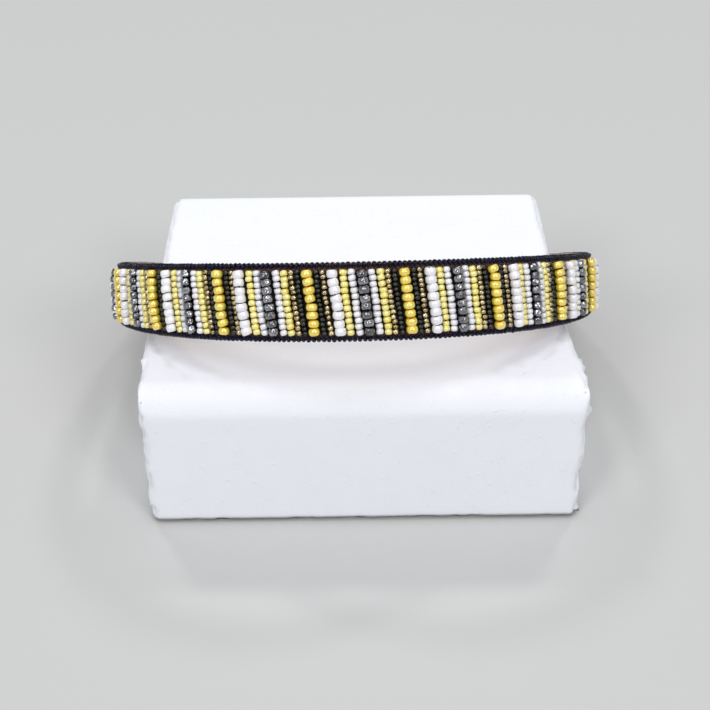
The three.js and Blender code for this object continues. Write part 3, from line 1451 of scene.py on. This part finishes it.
@dataclass
class BeadThreader:
    """Threads beads along lines with one Geometry Nodes tree, built once for all of them.

    Attributes:
        thread_share: Thickness of the thread as a share of the hole.
        thread_sides: Faces round the thread.
        graph: The tree.
        thread: The thread's material.
    """

    thread_share: float = 0.7
    thread_sides: int = 4
    graph: ShapeGraph = field(init=False)
    thread: bpy.types.Material = field(init=False)

    def __post_init__(self) -> None:
        """Builds the tree and the thread's material."""
        self.graph = ShapeGraph("strung_beads")
        self._build()
        self.thread = THREAD_FINISH.material()

    def _build(self) -> None:
        """Builds the tree: lines to bead centres, a bead on each, and the thread through them."""
        graph = self.graph
        lines = graph.add("GeometryNodeMeshToCurve", sockets={"Mesh": graph.source})
        beads = graph.add(
            "GeometryNodeInstanceOnPoints",
            sockets={
                "Points": self._centres(lines),
                "Instance": self._bead_shape(),
                "Rotation": self._turns(),
                "Scale": self._scales(),
            },
        )
        tinted = graph.keep(beads, TINT, self._chance(Draw.TINT, 0.0, 1.0), "INSTANCE")
        section = graph.circle(self.thread_sides, graph.named("Thread Diameter") / 2)
        thread = graph.tube(lines, section, capped=True)
        threaded = graph.dressed(thread, "Thread Material")
        joined = graph.add("GeometryNodeJoinGeometry", sockets={"Geometry": threaded})
        strung = graph.dressed(graph.realized(tinted), "Bead Material")
        graph.feed(joined.socket.node.inputs[0], strung)
        graph.finish(joined)

    def _chance(self, draw: Draw, low: Field | Scalar, high: Field | Scalar) -> Field:
        """A random number for each bead, fixed by the seed of its piece."""
        seed = self.graph.named("Seed", "Int")
        return self.graph.chance(low, high, seed + draw.value)

    def _bead_shape(self) -> Field:
        """Builds one bead round its own Z axis: a ring whose section is squared off.

        Returns:
            The bead's mesh.
        """
        graph = self.graph
        ring_radius = 2.0
        tube_radius = 1.0
        radius = graph.named("Bead Diameter") / 2
        hole = radius * graph.named("Hole Share")
        length = graph.named("Bead Length")
        squareness = graph.named("Squareness")
        ring = graph.circle(graph.named("Sides", "Int"), ring_radius)
        section = graph.circle(graph.named("Ring Points", "Int"), tube_radius)
        tube = graph.tube(ring, section, capped=False)
        x, y, z = graph.parts(graph.position())
        away = (x * x + y * y) ** 0.5
        outer, upper = (
            graph.maths("SIGN", value) * abs(value) ** squareness
            for value in (away - ring_radius, z)
        )
        reach = (radius + hole) / 2 + outer * (radius - hole) / 2
        marked = graph.keep(tube, RIM, abs(upper))
        place = graph.xyz(x / away * reach, y / away * reach, upper * length / 2)
        return graph.smoothed(graph.moved(marked, place))

    def _centres(self, lines: Field) -> Field:
        """Spreads the beads' centres evenly along the lines, each a little off them.

        Args:
            lines: The lines of the threads.

        Returns:
            The centres.
        """
        graph = self.graph
        count = graph.attribute("bead_count", "INT")
        half_bead = 0.5 / count
        trimmed = graph.add(
            "GeometryNodeTrimCurve",
            {"mode": "FACTOR"},
            {"Curve": lines, "Start": half_bead, "End": 1 - half_bead},
        )
        centres = graph.add(
            "GeometryNodeResampleCurve", {"mode": "COUNT"}, {"Curve": trimmed, "Count": count}
        )
        stray = graph.named("Stray")
        draws = (Draw.STRAY_X, Draw.STRAY_Y, Draw.STRAY_Z)
        aside = graph.xyz(*(self._chance(draw, stray * -1, stray) for draw in draws))
        return graph.add(
            "GeometryNodeSetPosition", sockets={"Geometry": centres, "Offset": aside}
        )

    def _turns(self) -> Field:
        """Lays each bead along its thread, with a chance lean and a chance turn about its hole.

        Returns:
            The beads' rotations.
        """
        graph = self.graph
        tilt = graph.named("Tilt Spread")
        along = graph.add(
            "FunctionNodeAlignRotationToVector",
            {"axis": "Z"},
            {"Vector": graph.add("GeometryNodeInputTangent")},
        )
        faced = graph.add(
            "FunctionNodeAlignRotationToVector",
            {"axis": "X", "pivot_axis": "Z"},
            {"Rotation": along, "Vector": graph.attribute("outward", "FLOAT_VECTOR")},
        )
        leaning = graph.xyz(
            self._chance(Draw.LEAN_X, tilt * -1, tilt),
            self._chance(Draw.LEAN_Y, tilt * -1, tilt),
            self._chance(Draw.SPIN, -math.pi, math.pi),
        )
        lean = graph.add("FunctionNodeEulerToRotation", sockets={"Euler": leaning})
        return graph.add(
            "FunctionNodeRotateRotation",
            {"rotation_space": "LOCAL"},
            {"Rotation": faced, "Rotate By": lean},
        )

    def _scales(self) -> Field:
        """Fits each bead to its share of the thread, with a chance size.

        Returns:
            The beads' scales.
        """
        graph = self.graph
        spread = graph.named("Size Spread")
        girth = self._chance(Draw.GIRTH, 1 - spread, 1 + spread)
        stretch = graph.attribute("pitch") / graph.named("Bead Length")
        share = self._chance(Draw.LENGTH, 1 - spread, 1.0)
        return graph.xyz(girth, girth, stretch * share)

    def thread_beads(
        self,
        name: str,
        paths: Sequence[ThreadPath],
        bead: Bead,
        material: bpy.types.Material,
        seed: int,
    ) -> bpy.types.Object:
        """Makes one piece of beads on their threads.

        Args:
            name: The piece's name.
            paths: The lines of its threads.
            bead: The kind of bead.
            material: The beads' material.
            seed: Fixes what is random.

        Returns:
            The piece.
        """
        points = [point for path in paths for point in path.points]
        edges = []
        start = 0
        for path in paths:
            edges += [(start + i, start + i + 1) for i in range(len(path.points) - 1)]
            start += len(path.points)
        piece = new_piece(name, points, edges=edges)
        sizes = [len(path.points) for path in paths]
        store(piece, "bead_count", "INT", np.repeat([path.count for path in paths], sizes))
        store(piece, "pitch", "FLOAT", np.repeat([path.pitch for path in paths], sizes))
        outward = np.repeat(np.array([path.outward for path in paths]), sizes, axis=0)
        store(piece, "outward", "FLOAT_VECTOR", outward)
        self.graph.shape(
            piece,
            {
                "Bead Diameter": bead.diameter * bead.girth_share * MM,
                "Hole Share": bead.hole_share,
                "Bead Length": bead.length * MM,
                "Squareness": bead.squareness,
                "Sides": bead.sides,
                "Ring Points": bead.ring_points,
                "Seed": seed,
                "Size Spread": bead.size_spread,
                "Tilt Spread": math.radians(bead.tilt_spread),
                "Stray": bead.stray * MM,
                "Bead Material": material,
                "Thread Diameter": self.thread_share * bead.hole_share * bead.diameter * MM,
                "Thread Material": self.thread,
            },
        )
        return piece


# Sub-assemblies


@dataclass
class DisplayBlock:
    """The foam block, with rounded top edges, crumbled sides and a cut lower edge.

    Attributes:
        step: Size of the faces of its grid.
        top_rounding: Radius of its upper edges.
        front_rounding: Radius of its front upper edge.
        low_rounding: Radius of its lower edges and of those of its front.
        wave: Depth of the slow waves in its faces.
        wave_grain: Size of the waves.
        flat_wave: Share of their depth that all the faces have.
        side_wave: Share of it that only the sides have.
        cell_depth: Depth of the seams between the foam's cells.
        seam_width: How far a seam reaches into its cells, as a share of their size.
        crumble: Depth of what has crumbled from the ragged edges.
        crumble_grain: Size of the crumbs.
        crumb_zone: Zone of the crumbs, in levels of noise.
        jag: Depth of the jags in the front of the sides.
        jag_grain: Size of the jags.
        spur: Height of the spurs that stand out there.
        spur_grain: Size of the spurs.
        spur_zone: Zone of the spurs, in levels of noise.
        skew: How far the front stands to the right.
        flare: How far its upper corners spread.
        flare_power: How close to the sides the spread stays.
        flare_zone: Zone of the spread, in shares of the height from the middle.
        top_zone: Zone of the upper rounding, in shares of the height from the middle.
        front_zone: Zone of the front, in shares of the depth from the middle.
        foot_zone: Zone of the foot, in shares of the height from the middle.
        corner_zone: Zone of the edges, in how far the skin turns from the nearest face.
        side_zone: Zone of the sides, in how far the skin faces sideways.
    """

    step: float = 1.1
    top_rounding: float = 3.2
    front_rounding: float = 8.5
    low_rounding: float = 2.2
    wave: float = 0.45
    wave_grain: float = 26.0
    flat_wave: float = 0.4
    side_wave: float = 0.6
    cell_depth: float = 0.015
    seam_width: float = 0.2
    crumble: float = 1.4
    crumble_grain: float = 3.6
    crumb_zone: Zone = (0.4, 0.75)
    jag: float = 3.0
    jag_grain: float = 8.0
    spur: float = 1.6
    spur_grain: float = 4.6
    spur_zone: Zone = (0.62, 0.72)
    skew: float = 1.3
    flare: float = 0.4
    flare_power: float = 3.0
    flare_zone: Zone = (-0.3, 0.5)
    top_zone: Zone = (-0.35, 0.1)
    front_zone: Zone = (-0.16, -0.5)
    foot_zone: Zone = (-0.38, -0.48)
    corner_zone: Zone = (0.03, 0.25)
    side_zone: Zone = (0.1, 0.5)

    def build(self) -> bpy.types.Object:
        """Makes the block from its box in the frame.

        Returns:
            The piece.
        """
        low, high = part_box("display_block")
        size = high - low
        piece = new_piece("foam_block")
        BlockGraph(self).shape(
            piece,
            {
                "Width": size.x,
                "Depth": size.y,
                "Height": size.z,
                "Step": self.step * MM,
                "Top Rounding": self.top_rounding * MM,
                "Front Rounding": self.front_rounding * MM,
                "Low Rounding": self.low_rounding * MM,
                "Wave": self.wave * MM,
                "Cell Depth": self.cell_depth * MM,
                "Crumble": self.crumble * MM,
                "Jag": self.jag * MM,
                "Spur": self.spur * MM,
                "Skew": self.skew * MM,
                "Flare": self.flare * MM,
                "Material": FOAM_FINISH.material(),
            },
        )
        return declare(piece, "display_block")


class BlockGraph(ShapeGraph):
    """The tree of the foam block: a grid box, rounded, waved, celled and crumbled."""

    def __init__(self, block: DisplayBlock) -> None:
        """Builds the whole tree.

        Args:
            block: The block, whose grains and zones the tree follows.
        """
        super().__init__("foam_block")
        self.block = block
        self.width = self.named("Width")
        self.depth = self.named("Depth")
        self.height = self.named("Height")
        self.point = self.position()
        self.x, y, z = self.parts(self.point)
        self.level = z / self.height
        self.frontness = self.eased(y / self.depth, *block.front_zone)
        lift = self.xyz(0.0, 0.0, self.height / 2)
        lifted = self.vectors("ADD", self._cut_front(self._skin()), lift)
        floor_limit = (-1.0, -1.0, 0.0)
        standing = self.vectors("MAXIMUM", lifted, floor_limit)
        smooth = self.smoothed(self.moved(self._box(), standing))
        self.finish(self.dressed(self.realized(smooth), "Material"))

    def _box(self) -> Field:
        """The plain box as a grid of small faces, about its middle."""
        step = self.named("Step")
        return self.add(
            "GeometryNodeMeshCube",
            sockets={
                "Size": self.xyz(self.width, self.depth, self.height),
                "Vertices X": self.width / step,
                "Vertices Y": self.depth / step,
                "Vertices Z": self.height / step,
            },
        )

    def _skin(self) -> Field:
        """Rounds the box and wears its skin.

        Returns:
            The places of the skin, about the block's middle.
        """
        top = self.named("Top Rounding")
        low = self.named("Low Rounding")
        upward = self.eased(self.level, *self.block.top_zone)
        radius = low + (top - low) * upward * (1 - self.frontness)
        half = self.xyz(self.width / 2, self.depth / 2, self.height / 2)
        inner = self.vectors("SUBTRACT", half, self.xyz(radius, radius, radius))
        opposite = self.vectors("MULTIPLY", inner, (-1.0, -1.0, -1.0))
        core = self.vectors("MAXIMUM", self.vectors("MINIMUM", self.point, inner), opposite)
        normal = self.vectors("NORMALIZE", self.vectors("SUBTRACT", self.point, core))
        away = radius - self._worn(normal)
        return self.vectors(
            "ADD", core, self.vectors("MULTIPLY", normal, self.xyz(away, away, away))
        )

    def _worn(self, normal: Field) -> Field:
        """How deep the skin is worn.

        Args:
            normal: The direction out of the smooth skin.

        Returns:
            The depth in metres, less than 0 where the foam stands out.
        """
        block = self.block
        sideward, forward, upward = self.parts(self.vectors("ABSOLUTE", normal))
        flat = self.maths("MAXIMUM", sideward, self.maths("MAXIMUM", forward, upward))
        corner = self.eased(1 - flat, *block.corner_zone)
        side = self.eased(sideward, *block.side_zone)
        foot = self.eased(self.level, *block.foot_zone)
        ragged = corner * self.maths("MAXIMUM", side, foot)
        waves = self._noise(block.wave_grain)
        crumbs = self.eased(self._noise(block.crumble_grain), *block.crumb_zone)
        seam = self.seams(self.point, FOAM_FINISH.cell, block.seam_width)
        jags = self._noise(block.jag_grain) - 0.5
        spurs = self.eased(self._noise(block.spur_grain), *block.spur_zone)
        broken = self.named("Jag") * jags + self.named("Spur") * spurs
        worn = self.named("Wave") * waves * (block.flat_wave + block.side_wave * side)
        worn = worn + self.named("Cell Depth") * seam
        worn = worn + self.named("Crumble") * crumbs * ragged
        return worn - broken * side * self.frontness

    def _noise(self, grain: float) -> Field:
        """Soft noise over the block, with patches of a size in millimetres."""
        return self.noise(self.point, grain, detail=3.0)

    def _cut_front(self, skin: Field) -> Field:
        """Rounds the front upper edge and spreads the front.

        Args:
            skin: The places of the skin.

        Returns:
            Their new places.
        """
        front = self.named("Front Rounding")
        x, y, z = self.parts(skin)
        behind = self.maths("MAXIMUM", front - y - self.depth / 2, 0.0)
        under = self.maths("MAXIMUM", front + z - self.height / 2, 0.0)
        reach = self.maths("MAXIMUM", (behind * behind + under * under) ** 0.5, front)
        cut = 1 - front / reach
        return self.xyz(x + self._spread(), y + behind * cut, z - under * cut)

    def _spread(self) -> Field:
        """How far the front stands aside, and its upper corners spread.

        Returns:
            The way to the right in metres.
        """
        side = self.x / self.width * 2
        edgeward = side * abs(side) ** self.block.flare_power
        risen = self.eased(self.level, *self.block.flare_zone)
        return (self.named("Skew") + self.named("Flare") * edgeward * risen) * self.frontness


@dataclass
class BandWall:
    """A sheet of the band's wall, cut to its outline: the ground cloth or the lining.

    Attributes:
        form: The band's form.
        name: The piece's name.
        node: The solid that it stands for.
        slot: The record's material slot; not used.
        finish: What it is made of.
        inside: Place of its inner face.
        outside: Place of its outer face.
        inset: How far its edge lies in from the band's outline.
        rests_on: The piece that it lies on; not used.
        length_step: Distance between its sections along the band.
        tip_steps: Sections round each tip.
        across_steps: Faces across it.
        edge_rounding: How far in from the edge its faces begin to round off.
        rounding_limit: The most that this is, as a share of the half width.
    """

    form: BandForm
    name: str
    node: str
    slot: str
    finish: WovenCloth | Suede
    inside: float
    outside: float
    inset: float
    rests_on: str
    length_step: float = 1.5
    tip_steps: int = 9
    across_steps: int = 8
    edge_rounding: float = 0.3
    rounding_limit: float = 0.5

    @property
    def middle(self) -> float:
        """Place of the middle of its thickness."""
        return (self.inside + self.outside) / 2

    def build(self) -> bpy.types.Object:
        """Makes the sheet. Each point keeps its place along, across and in from the edge.

        Returns:
            The piece.
        """
        sections = self._sections()
        points = []
        places = []
        for along, reach in sections:
            for across_share, out in self._profile(reach):
                across = reach * across_share
                points.append(self.form.point(along, across, out))
                places.append((along * MM, across * MM, reach * (1 - abs(across_share)) * MM))
        faces = self._faces(len(sections), len(points) // len(sections))
        piece = new_piece(self.name, points, faces=faces)
        store(piece, BAND_PLACE, "FLOAT_VECTOR", np.array(places))
        piece.data.polygons.foreach_set("use_smooth", [True] * len(faces))
        piece.data.materials.append(self.finish.material())
        declare(piece, self.node)
        self._declare_sheet(sections)
        return piece

    def _sections(self) -> list[tuple[float, float]]:
        """Works out the sheet's sections, tip to tip.

        Returns:
            Their places along the band, with the sheet's half width at each.
        """
        form = self.form
        steps = round(form.taper_length / self.length_step)
        half = []
        for i in range(steps + 1):
            along = form.taper_length * i / steps
            half.append((along, form.half_width(along) - self.inset))
        tip = form.tip_radius - self.inset
        for i in range(1, self.tip_steps):
            turn = math.pi / 2 * i / self.tip_steps
            half.append((form.taper_length + tip * math.sin(turn), tip * math.cos(turn)))
        return [(-along, reach) for along, reach in reversed(half[1:])] + half

    def _profile(self, reach: float) -> list[tuple[float, float]]:
        """Works out the ring of points of one section.

        Args:
            reach: The sheet's half width there.

        Returns:
            Their places across the sheet, as shares of its reach, and out of the cloth.
        """
        soft = min(self.edge_rounding / max(reach, self.edge_rounding), self.rounding_limit)
        shares = [1 - 2 * i / self.across_steps for i in range(self.across_steps + 1)]
        shares[0] = 1 - soft
        shares[-1] = soft - 1
        outer = [(share, self.outside) for share in shares]
        inner = [(share, self.inside) for share in reversed(shares)]
        return [*outer, (-1.0, self.middle), *inner, (1.0, self.middle)]

    @staticmethod
    def _faces(rows: int, ring: int) -> list[tuple[int, ...]]:
        """Joins the rings of points up, and closes both ends.

        Args:
            rows: How many rings there are.
            ring: How many points each has.

        Returns:
            The faces as rings of point numbers.
        """
        faces = []
        for row in range(rows - 1):
            for i in range(ring):
                a = row * ring + i
                b = row * ring + (i + 1) % ring
                faces.append((a, a + ring, b + ring, b))
        last = (rows - 1) * ring
        faces.append(tuple(range(ring)))
        faces.append(tuple(last + i for i in reversed(range(ring))))
        return faces

    def _declare_sheet(
        self, sections: Sequence[tuple[float, float]]
    ) -> None:
        """Works out the sheet's width and area, measured along the middle of its thickness, and keeps
        neither.

        Args:
            sections: Its sections, tip to tip.
        """
        spine = [self.form.flat_point(along, 0.0, self.middle) for along, _ in sections]
        steps = [(end - start).length for start, end in zip(spine, spine[1:])]
        reaches = [reach for _, reach in sections]
        area = sum(
            step * (first + second) for step, first, second in zip(steps, reaches, reaches[1:])
        )
        width = 2 * max(reaches)
        width * MM
        area * MM * MM


@dataclass
class Beadwork:
    """The strings of beads across the band, bead by bead.

    Attributes:
        form: The band's form.
        threader: What threads the beads.
        path_steps: Straight lines along a thread.
        end_droop: How far the ends of a string dip towards the cloth.
        droop_diameter: The bead's diameter for which that holds.
        droop_power: How close to the ends the dip stays.
        bow: The most that a string bends along the band.
        seed: Fixes what is random.
        kind_seed_step: What each kind of bead adds to the seed.
        string_seed_step: What each large string adds to it.
    """

    form: BandForm
    threader: BeadThreader
    path_steps: int = 12
    end_droop: float = 0.4
    droop_diameter: float = 3.0
    droop_power: int = 4
    bow: float = 0.22
    seed: int = 40
    kind_seed_step: int = 1000
    string_seed_step: int = 20
    _chance: np.random.Generator = field(init=False)

    def __post_init__(self) -> None:
        """Starts the random numbers that bend the strings."""
        self._chance = np.random.default_rng(self.seed)

    def build(self) -> list[bpy.types.Object]:
        """Makes a piece for each large string, and one for each kind of fine string.

        Returns:
            The pieces.
        """
        strings = self.form.strings()
        pieces = []
        for number, kind in enumerate(BeadKind):
            bead = BEADS[kind]
            material = FINISHES[kind].material()
            paths = [self._path(string) for string in strings if string.kind is kind]
            first_seed = self.seed + self.kind_seed_step * number
            if not bead.large:
                name = f"{kind.value}_strings"
                piece = self.threader.thread_beads(name, paths, bead, material, first_seed)
                pieces.append(declare(piece, "ground_cloth"))
                continue
            for place, path in enumerate(paths, start=1):
                node = f"{kind.value}_string_{place:02d}"
                seed = first_seed + self.string_seed_step * place
                piece = self.threader.thread_beads(f"{node}_beads", [path], bead, material, seed)
                pieces.append(declare(piece, node))
        return pieces

    def _path(self, string: BeadString) -> ThreadPath:
        """The line of a string's thread, which dips into the cloth at both ends.

        Args:
            string: The string.

        Returns:
            Its thread's path, from the upper end to the lower one.
        """
        bead = BEADS[string.kind]
        gap = self.form.seat_gap if bead.large else 0.0
        height = gap + bead.diameter / 2
        droop = self.end_droop * bead.diameter / self.droop_diameter
        bow = self.bow * self._chance.uniform(-1.0, 1.0)
        points = []
        for i in range(self.path_steps + 1):
            share = 1 - 2 * i / self.path_steps
            along = string.along - self.form.string_slant * string.reach * share
            along += bow * (1 - share**2)
            out = height - droop * share**self.droop_power
            points.append(self.form.point(along, string.reach * share, out))
        length = 2 * string.reach * math.hypot(1.0, self.form.string_slant)
        return ThreadPath(points, self.form.outward(string.along), round(length / bead.length))


@dataclass
class EdgeBinding:
    """The stitches of fine beads that bind one long edge of cloth and lining.

    Attributes:
        form: The band's form.
        threader: What threads the beads.
        edge: The edge that it binds.
        pitch: Distance between stitches along the edge.
        beads_each: Beads on a stitch.
        crest_inset: How far a stitch's top lies in from the outline.
        foot_inset: How far its two feet lie in.
        front_out: Place of its front foot, out from the cloth's face.
        back_out: Place of its back foot.
        shoulder: Rounding of its bends over the edge.
        shoulder_steps: Straight lines round each bend.
        seed: Fixes what is random.
    """

    form: BandForm
    threader: BeadThreader
    edge: Edge
    pitch: float = 1.36
    beads_each: int = 3
    crest_inset: float = 0.67
    foot_inset: float = 1.5
    front_out: float = 0.3
    back_out: float = -1.68
    shoulder: float = 0.65
    shoulder_steps: int = 3
    seed: int = 9000

    def build(self) -> bpy.types.Object:
        """Makes the binding from the middle of one tip to the middle of the other.

        Returns:
            The piece.
        """
        travel = self.form.edge_half_travel
        count = round(2 * travel / self.pitch)
        profile = self._profile()
        paths = []
        for i in range(count):
            middle = -travel + 2 * travel * (i + 0.5) / count
            paths.append(self._stitch(self.form.edge_point(middle), profile))
        node = f"edging_{self.edge.name.lower()}"
        piece = self.threader.thread_beads(
            f"{node}_beads",
            paths,
            EDGING_BEAD,
            EDGING_FINISH.material(),
            self.seed + self.edge.value,
        )
        return declare(piece, node)

    def _profile(self) -> list[tuple[float, float]]:
        """Works out a stitch's line over the edge, from the front to the back.

        Returns:
            Its insets from the outline and its places out of the cloth.
        """
        fall = self.foot_inset - self.crest_inset
        arc = []
        for i in range(self.shoulder_steps + 1):
            turn = math.pi / 2 * i / self.shoulder_steps
            arc.append((fall * (1 - math.sin(turn)), self.shoulder * (1 - math.cos(turn))))
        front = [(self.crest_inset + drop, self.front_out - back) for drop, back in arc]
        rear = [(self.crest_inset + drop, self.back_out + back) for drop, back in reversed(arc)]
        return front + rear

    def _stitch(self, base: EdgePoint, profile: Sequence[tuple[float, float]]) -> ThreadPath:
        """The line of one stitch over the edge.

        Args:
            base: Where the stitch stands on the outline of the upper edge.
            profile: The stitch's line over the edge.

        Returns:
            The path of its thread, from the front to the back.
        """
        points = []
        for inset, out in profile:
            along = base.along - inset * base.away_along
            across = self.edge.value * (base.across - inset * base.away_across)
            points.append(self.form.point(along, across, out))
        return ThreadPath(points, self.form.outward(base.along), self.beads_each)


# Studio


@dataclass(frozen=True)
class Lamp:
    """A round soft lamp that looks at the object.

    Attributes:
        name: The lamp's name.
        azimuth: Its turn to the right of the front, in degrees.
        elevation: Its angle above the floor, in degrees.
        power: Its power in watts.
        distance: How far it hangs from the point that it looks at, in metres.
        diameter: Its size in metres.
        aim_height: Height of that point over the floor, in metres.
    """

    name: str
    azimuth: float
    elevation: float
    power: float
    distance: float = 3.5
    diameter: float = 1.1
    aim_height: float = 0.05

    def hang(self) -> None:
        """Hangs the lamp in the scene."""
        turn = math.radians(self.azimuth)
        rise = math.radians(self.elevation)
        level = math.cos(rise)
        away = Vector((level * math.sin(turn), -level * math.cos(turn), math.sin(rise)))
        light = bpy.data.lights.new(self.name, "AREA")
        light.shape = "DISK"
        light.size = self.diameter
        light.energy = self.power
        softbox = bpy.data.objects.new(self.name, light)
        softbox.location = Vector((0.0, 0.0, self.aim_height)) + away * self.distance
        softbox.rotation_euler = (-away).to_track_quat("-Z", "Y").to_euler()
        bpy.context.scene.collection.objects.link(softbox)


LAMPS = (
    Lamp("overhead", azimuth=0.0, elevation=85.0, power=21.0, diameter=0.9),
    Lamp("left_high", azimuth=-42.0, elevation=60.0, power=8.2),
    Lamp("right_high", azimuth=42.0, elevation=60.0, power=8.2),
    Lamp("left_front", azimuth=-35.0, elevation=35.0, power=24.2),
    Lamp("right_front", azimuth=35.0, elevation=35.0, power=24.2),
    Lamp("left_back", azimuth=-150.0, elevation=52.0, power=14.6, diameter=0.45),
    Lamp("right_back", azimuth=150.0, elevation=52.0, power=14.6, diameter=0.45),
)


@dataclass
class Studio:
    """The floor, the soft light and the camera at the photograph's angle.

    Attributes:
        image_side: The photograph's side in pixels.
        focal_pixels: The camera's focal length in those pixels.
        eye: The camera's place in millimetres.
        yaw: Its turn to the right of +Y, in degrees.
        pitch: Its turn down, in degrees.
        roll: Its turn about its own view, in degrees.
        sensor: Width of its sensor in millimetres.
        nearest: The nearest that it sees, in metres.
        floor_side: Side of the floor in metres.
        dome_strength: Strength of the even light from all round.
        dome_colour: Colour of that light.
    """

    image_side: int = 710
    focal_pixels: float = 1344.7
    eye: tuple[float, float, float] = (-0.9, -343.6, 261.5)
    yaw: float = 0.02
    pitch: float = 35.29
    roll: float = -0.73
    sensor: float = 36.0
    nearest: float = 0.01
    floor_side: float = 6.0
    dome_strength: float = 0.4
    dome_colour: Colour = (0.945, 0.968, 1.0, 1.0)

    def build(self) -> None:
        """Makes the floor, the lights and the camera."""
        self._floor()
        self._lights()
        self._camera()

    def _floor(self) -> None:
        """Lays a wide plain floor under the block."""
        half = self.floor_side / 2
        signs = ((-1, -1), (1, -1), (1, 1), (-1, 1))
        corners = [Vector((x * half, y * half, 0.0)) for x, y in signs]
        floor = new_piece("studio_floor", corners, faces=[(0, 1, 2, 3)])
        floor.data.materials.append(FLOOR_FINISH.material())

    def _lights(self) -> None:
        """Hangs the soft lamps, and fills the room with even light."""
        for lamp in LAMPS:
            lamp.hang()
        world = bpy.data.worlds.new("light_tent")
        world.use_nodes = True
        background = world.node_tree.nodes["Background"]
        background.inputs["Color"].default_value = self.dome_colour
        background.inputs["Strength"].default_value = self.dome_strength
        bpy.context.scene.world = world

    def _camera(self) -> None:
        """Sets the camera where the photograph was taken from."""
        data = bpy.data.cameras.new("camera")
        data.sensor_width = self.sensor
        data.lens = self.focal_pixels / self.image_side * self.sensor
        data.clip_start = self.nearest
        camera = bpy.data.objects.new("camera", data)
        yaw, pitch, roll = (math.radians(turn) for turn in (self.yaw, self.pitch, self.roll))
        aim = Matrix.Rotation(-yaw, 4, "Z") @ Matrix.Rotation(math.pi / 2 - pitch, 4, "X")
        camera.matrix_world = (
            Matrix.Translation(Vector(self.eye) * MM) @ aim @ Matrix.Rotation(roll, 4, "Z")
        )
        bpy.context.scene.collection.objects.link(camera)
        bpy.context.scene.camera = camera
        bpy.context.scene.view_settings.view_transform = "Standard"


def report(pieces: Iterable[bpy.types.Object]) -> None:
    """Logs each piece with its number of faces."""
    for piece in pieces:
        LOG.info("%s: %d faces", piece.name, len(piece.data.polygons))


def main() -> None:
    """Builds the studio, the block, the walls and the beads in order."""
    logging.basicConfig(level=logging.INFO, format="%(name)s %(message)s")
    form = BandForm()
    Studio().build()
    report([DisplayBlock().build()])
    lining = BandWall(
        form,
        name="suede_lining",
        node="lining",
        slot="suede",
        finish=SUEDE_FINISH,
        inside=form.lining_inside,
        outside=form.lining_outside,
        inset=form.lining_inset,
        rests_on="foam_block",
    )
    cloth = BandWall(
        form,
        name="ground_cloth_sheet",
        node="ground_cloth",
        slot="ground_cloth",
        finish=CLOTH_FINISH,
        inside=form.cloth_inside,
        outside=0.0,
        inset=form.cloth_inset,
        rests_on="suede_lining",
    )
    report([lining.build(), cloth.build()])
    threader = BeadThreader()
    report(Beadwork(form, threader).build())
    report(EdgeBinding(form, threader, edge).build() for edge in Edge)


if __name__ == "__main__":
    main()
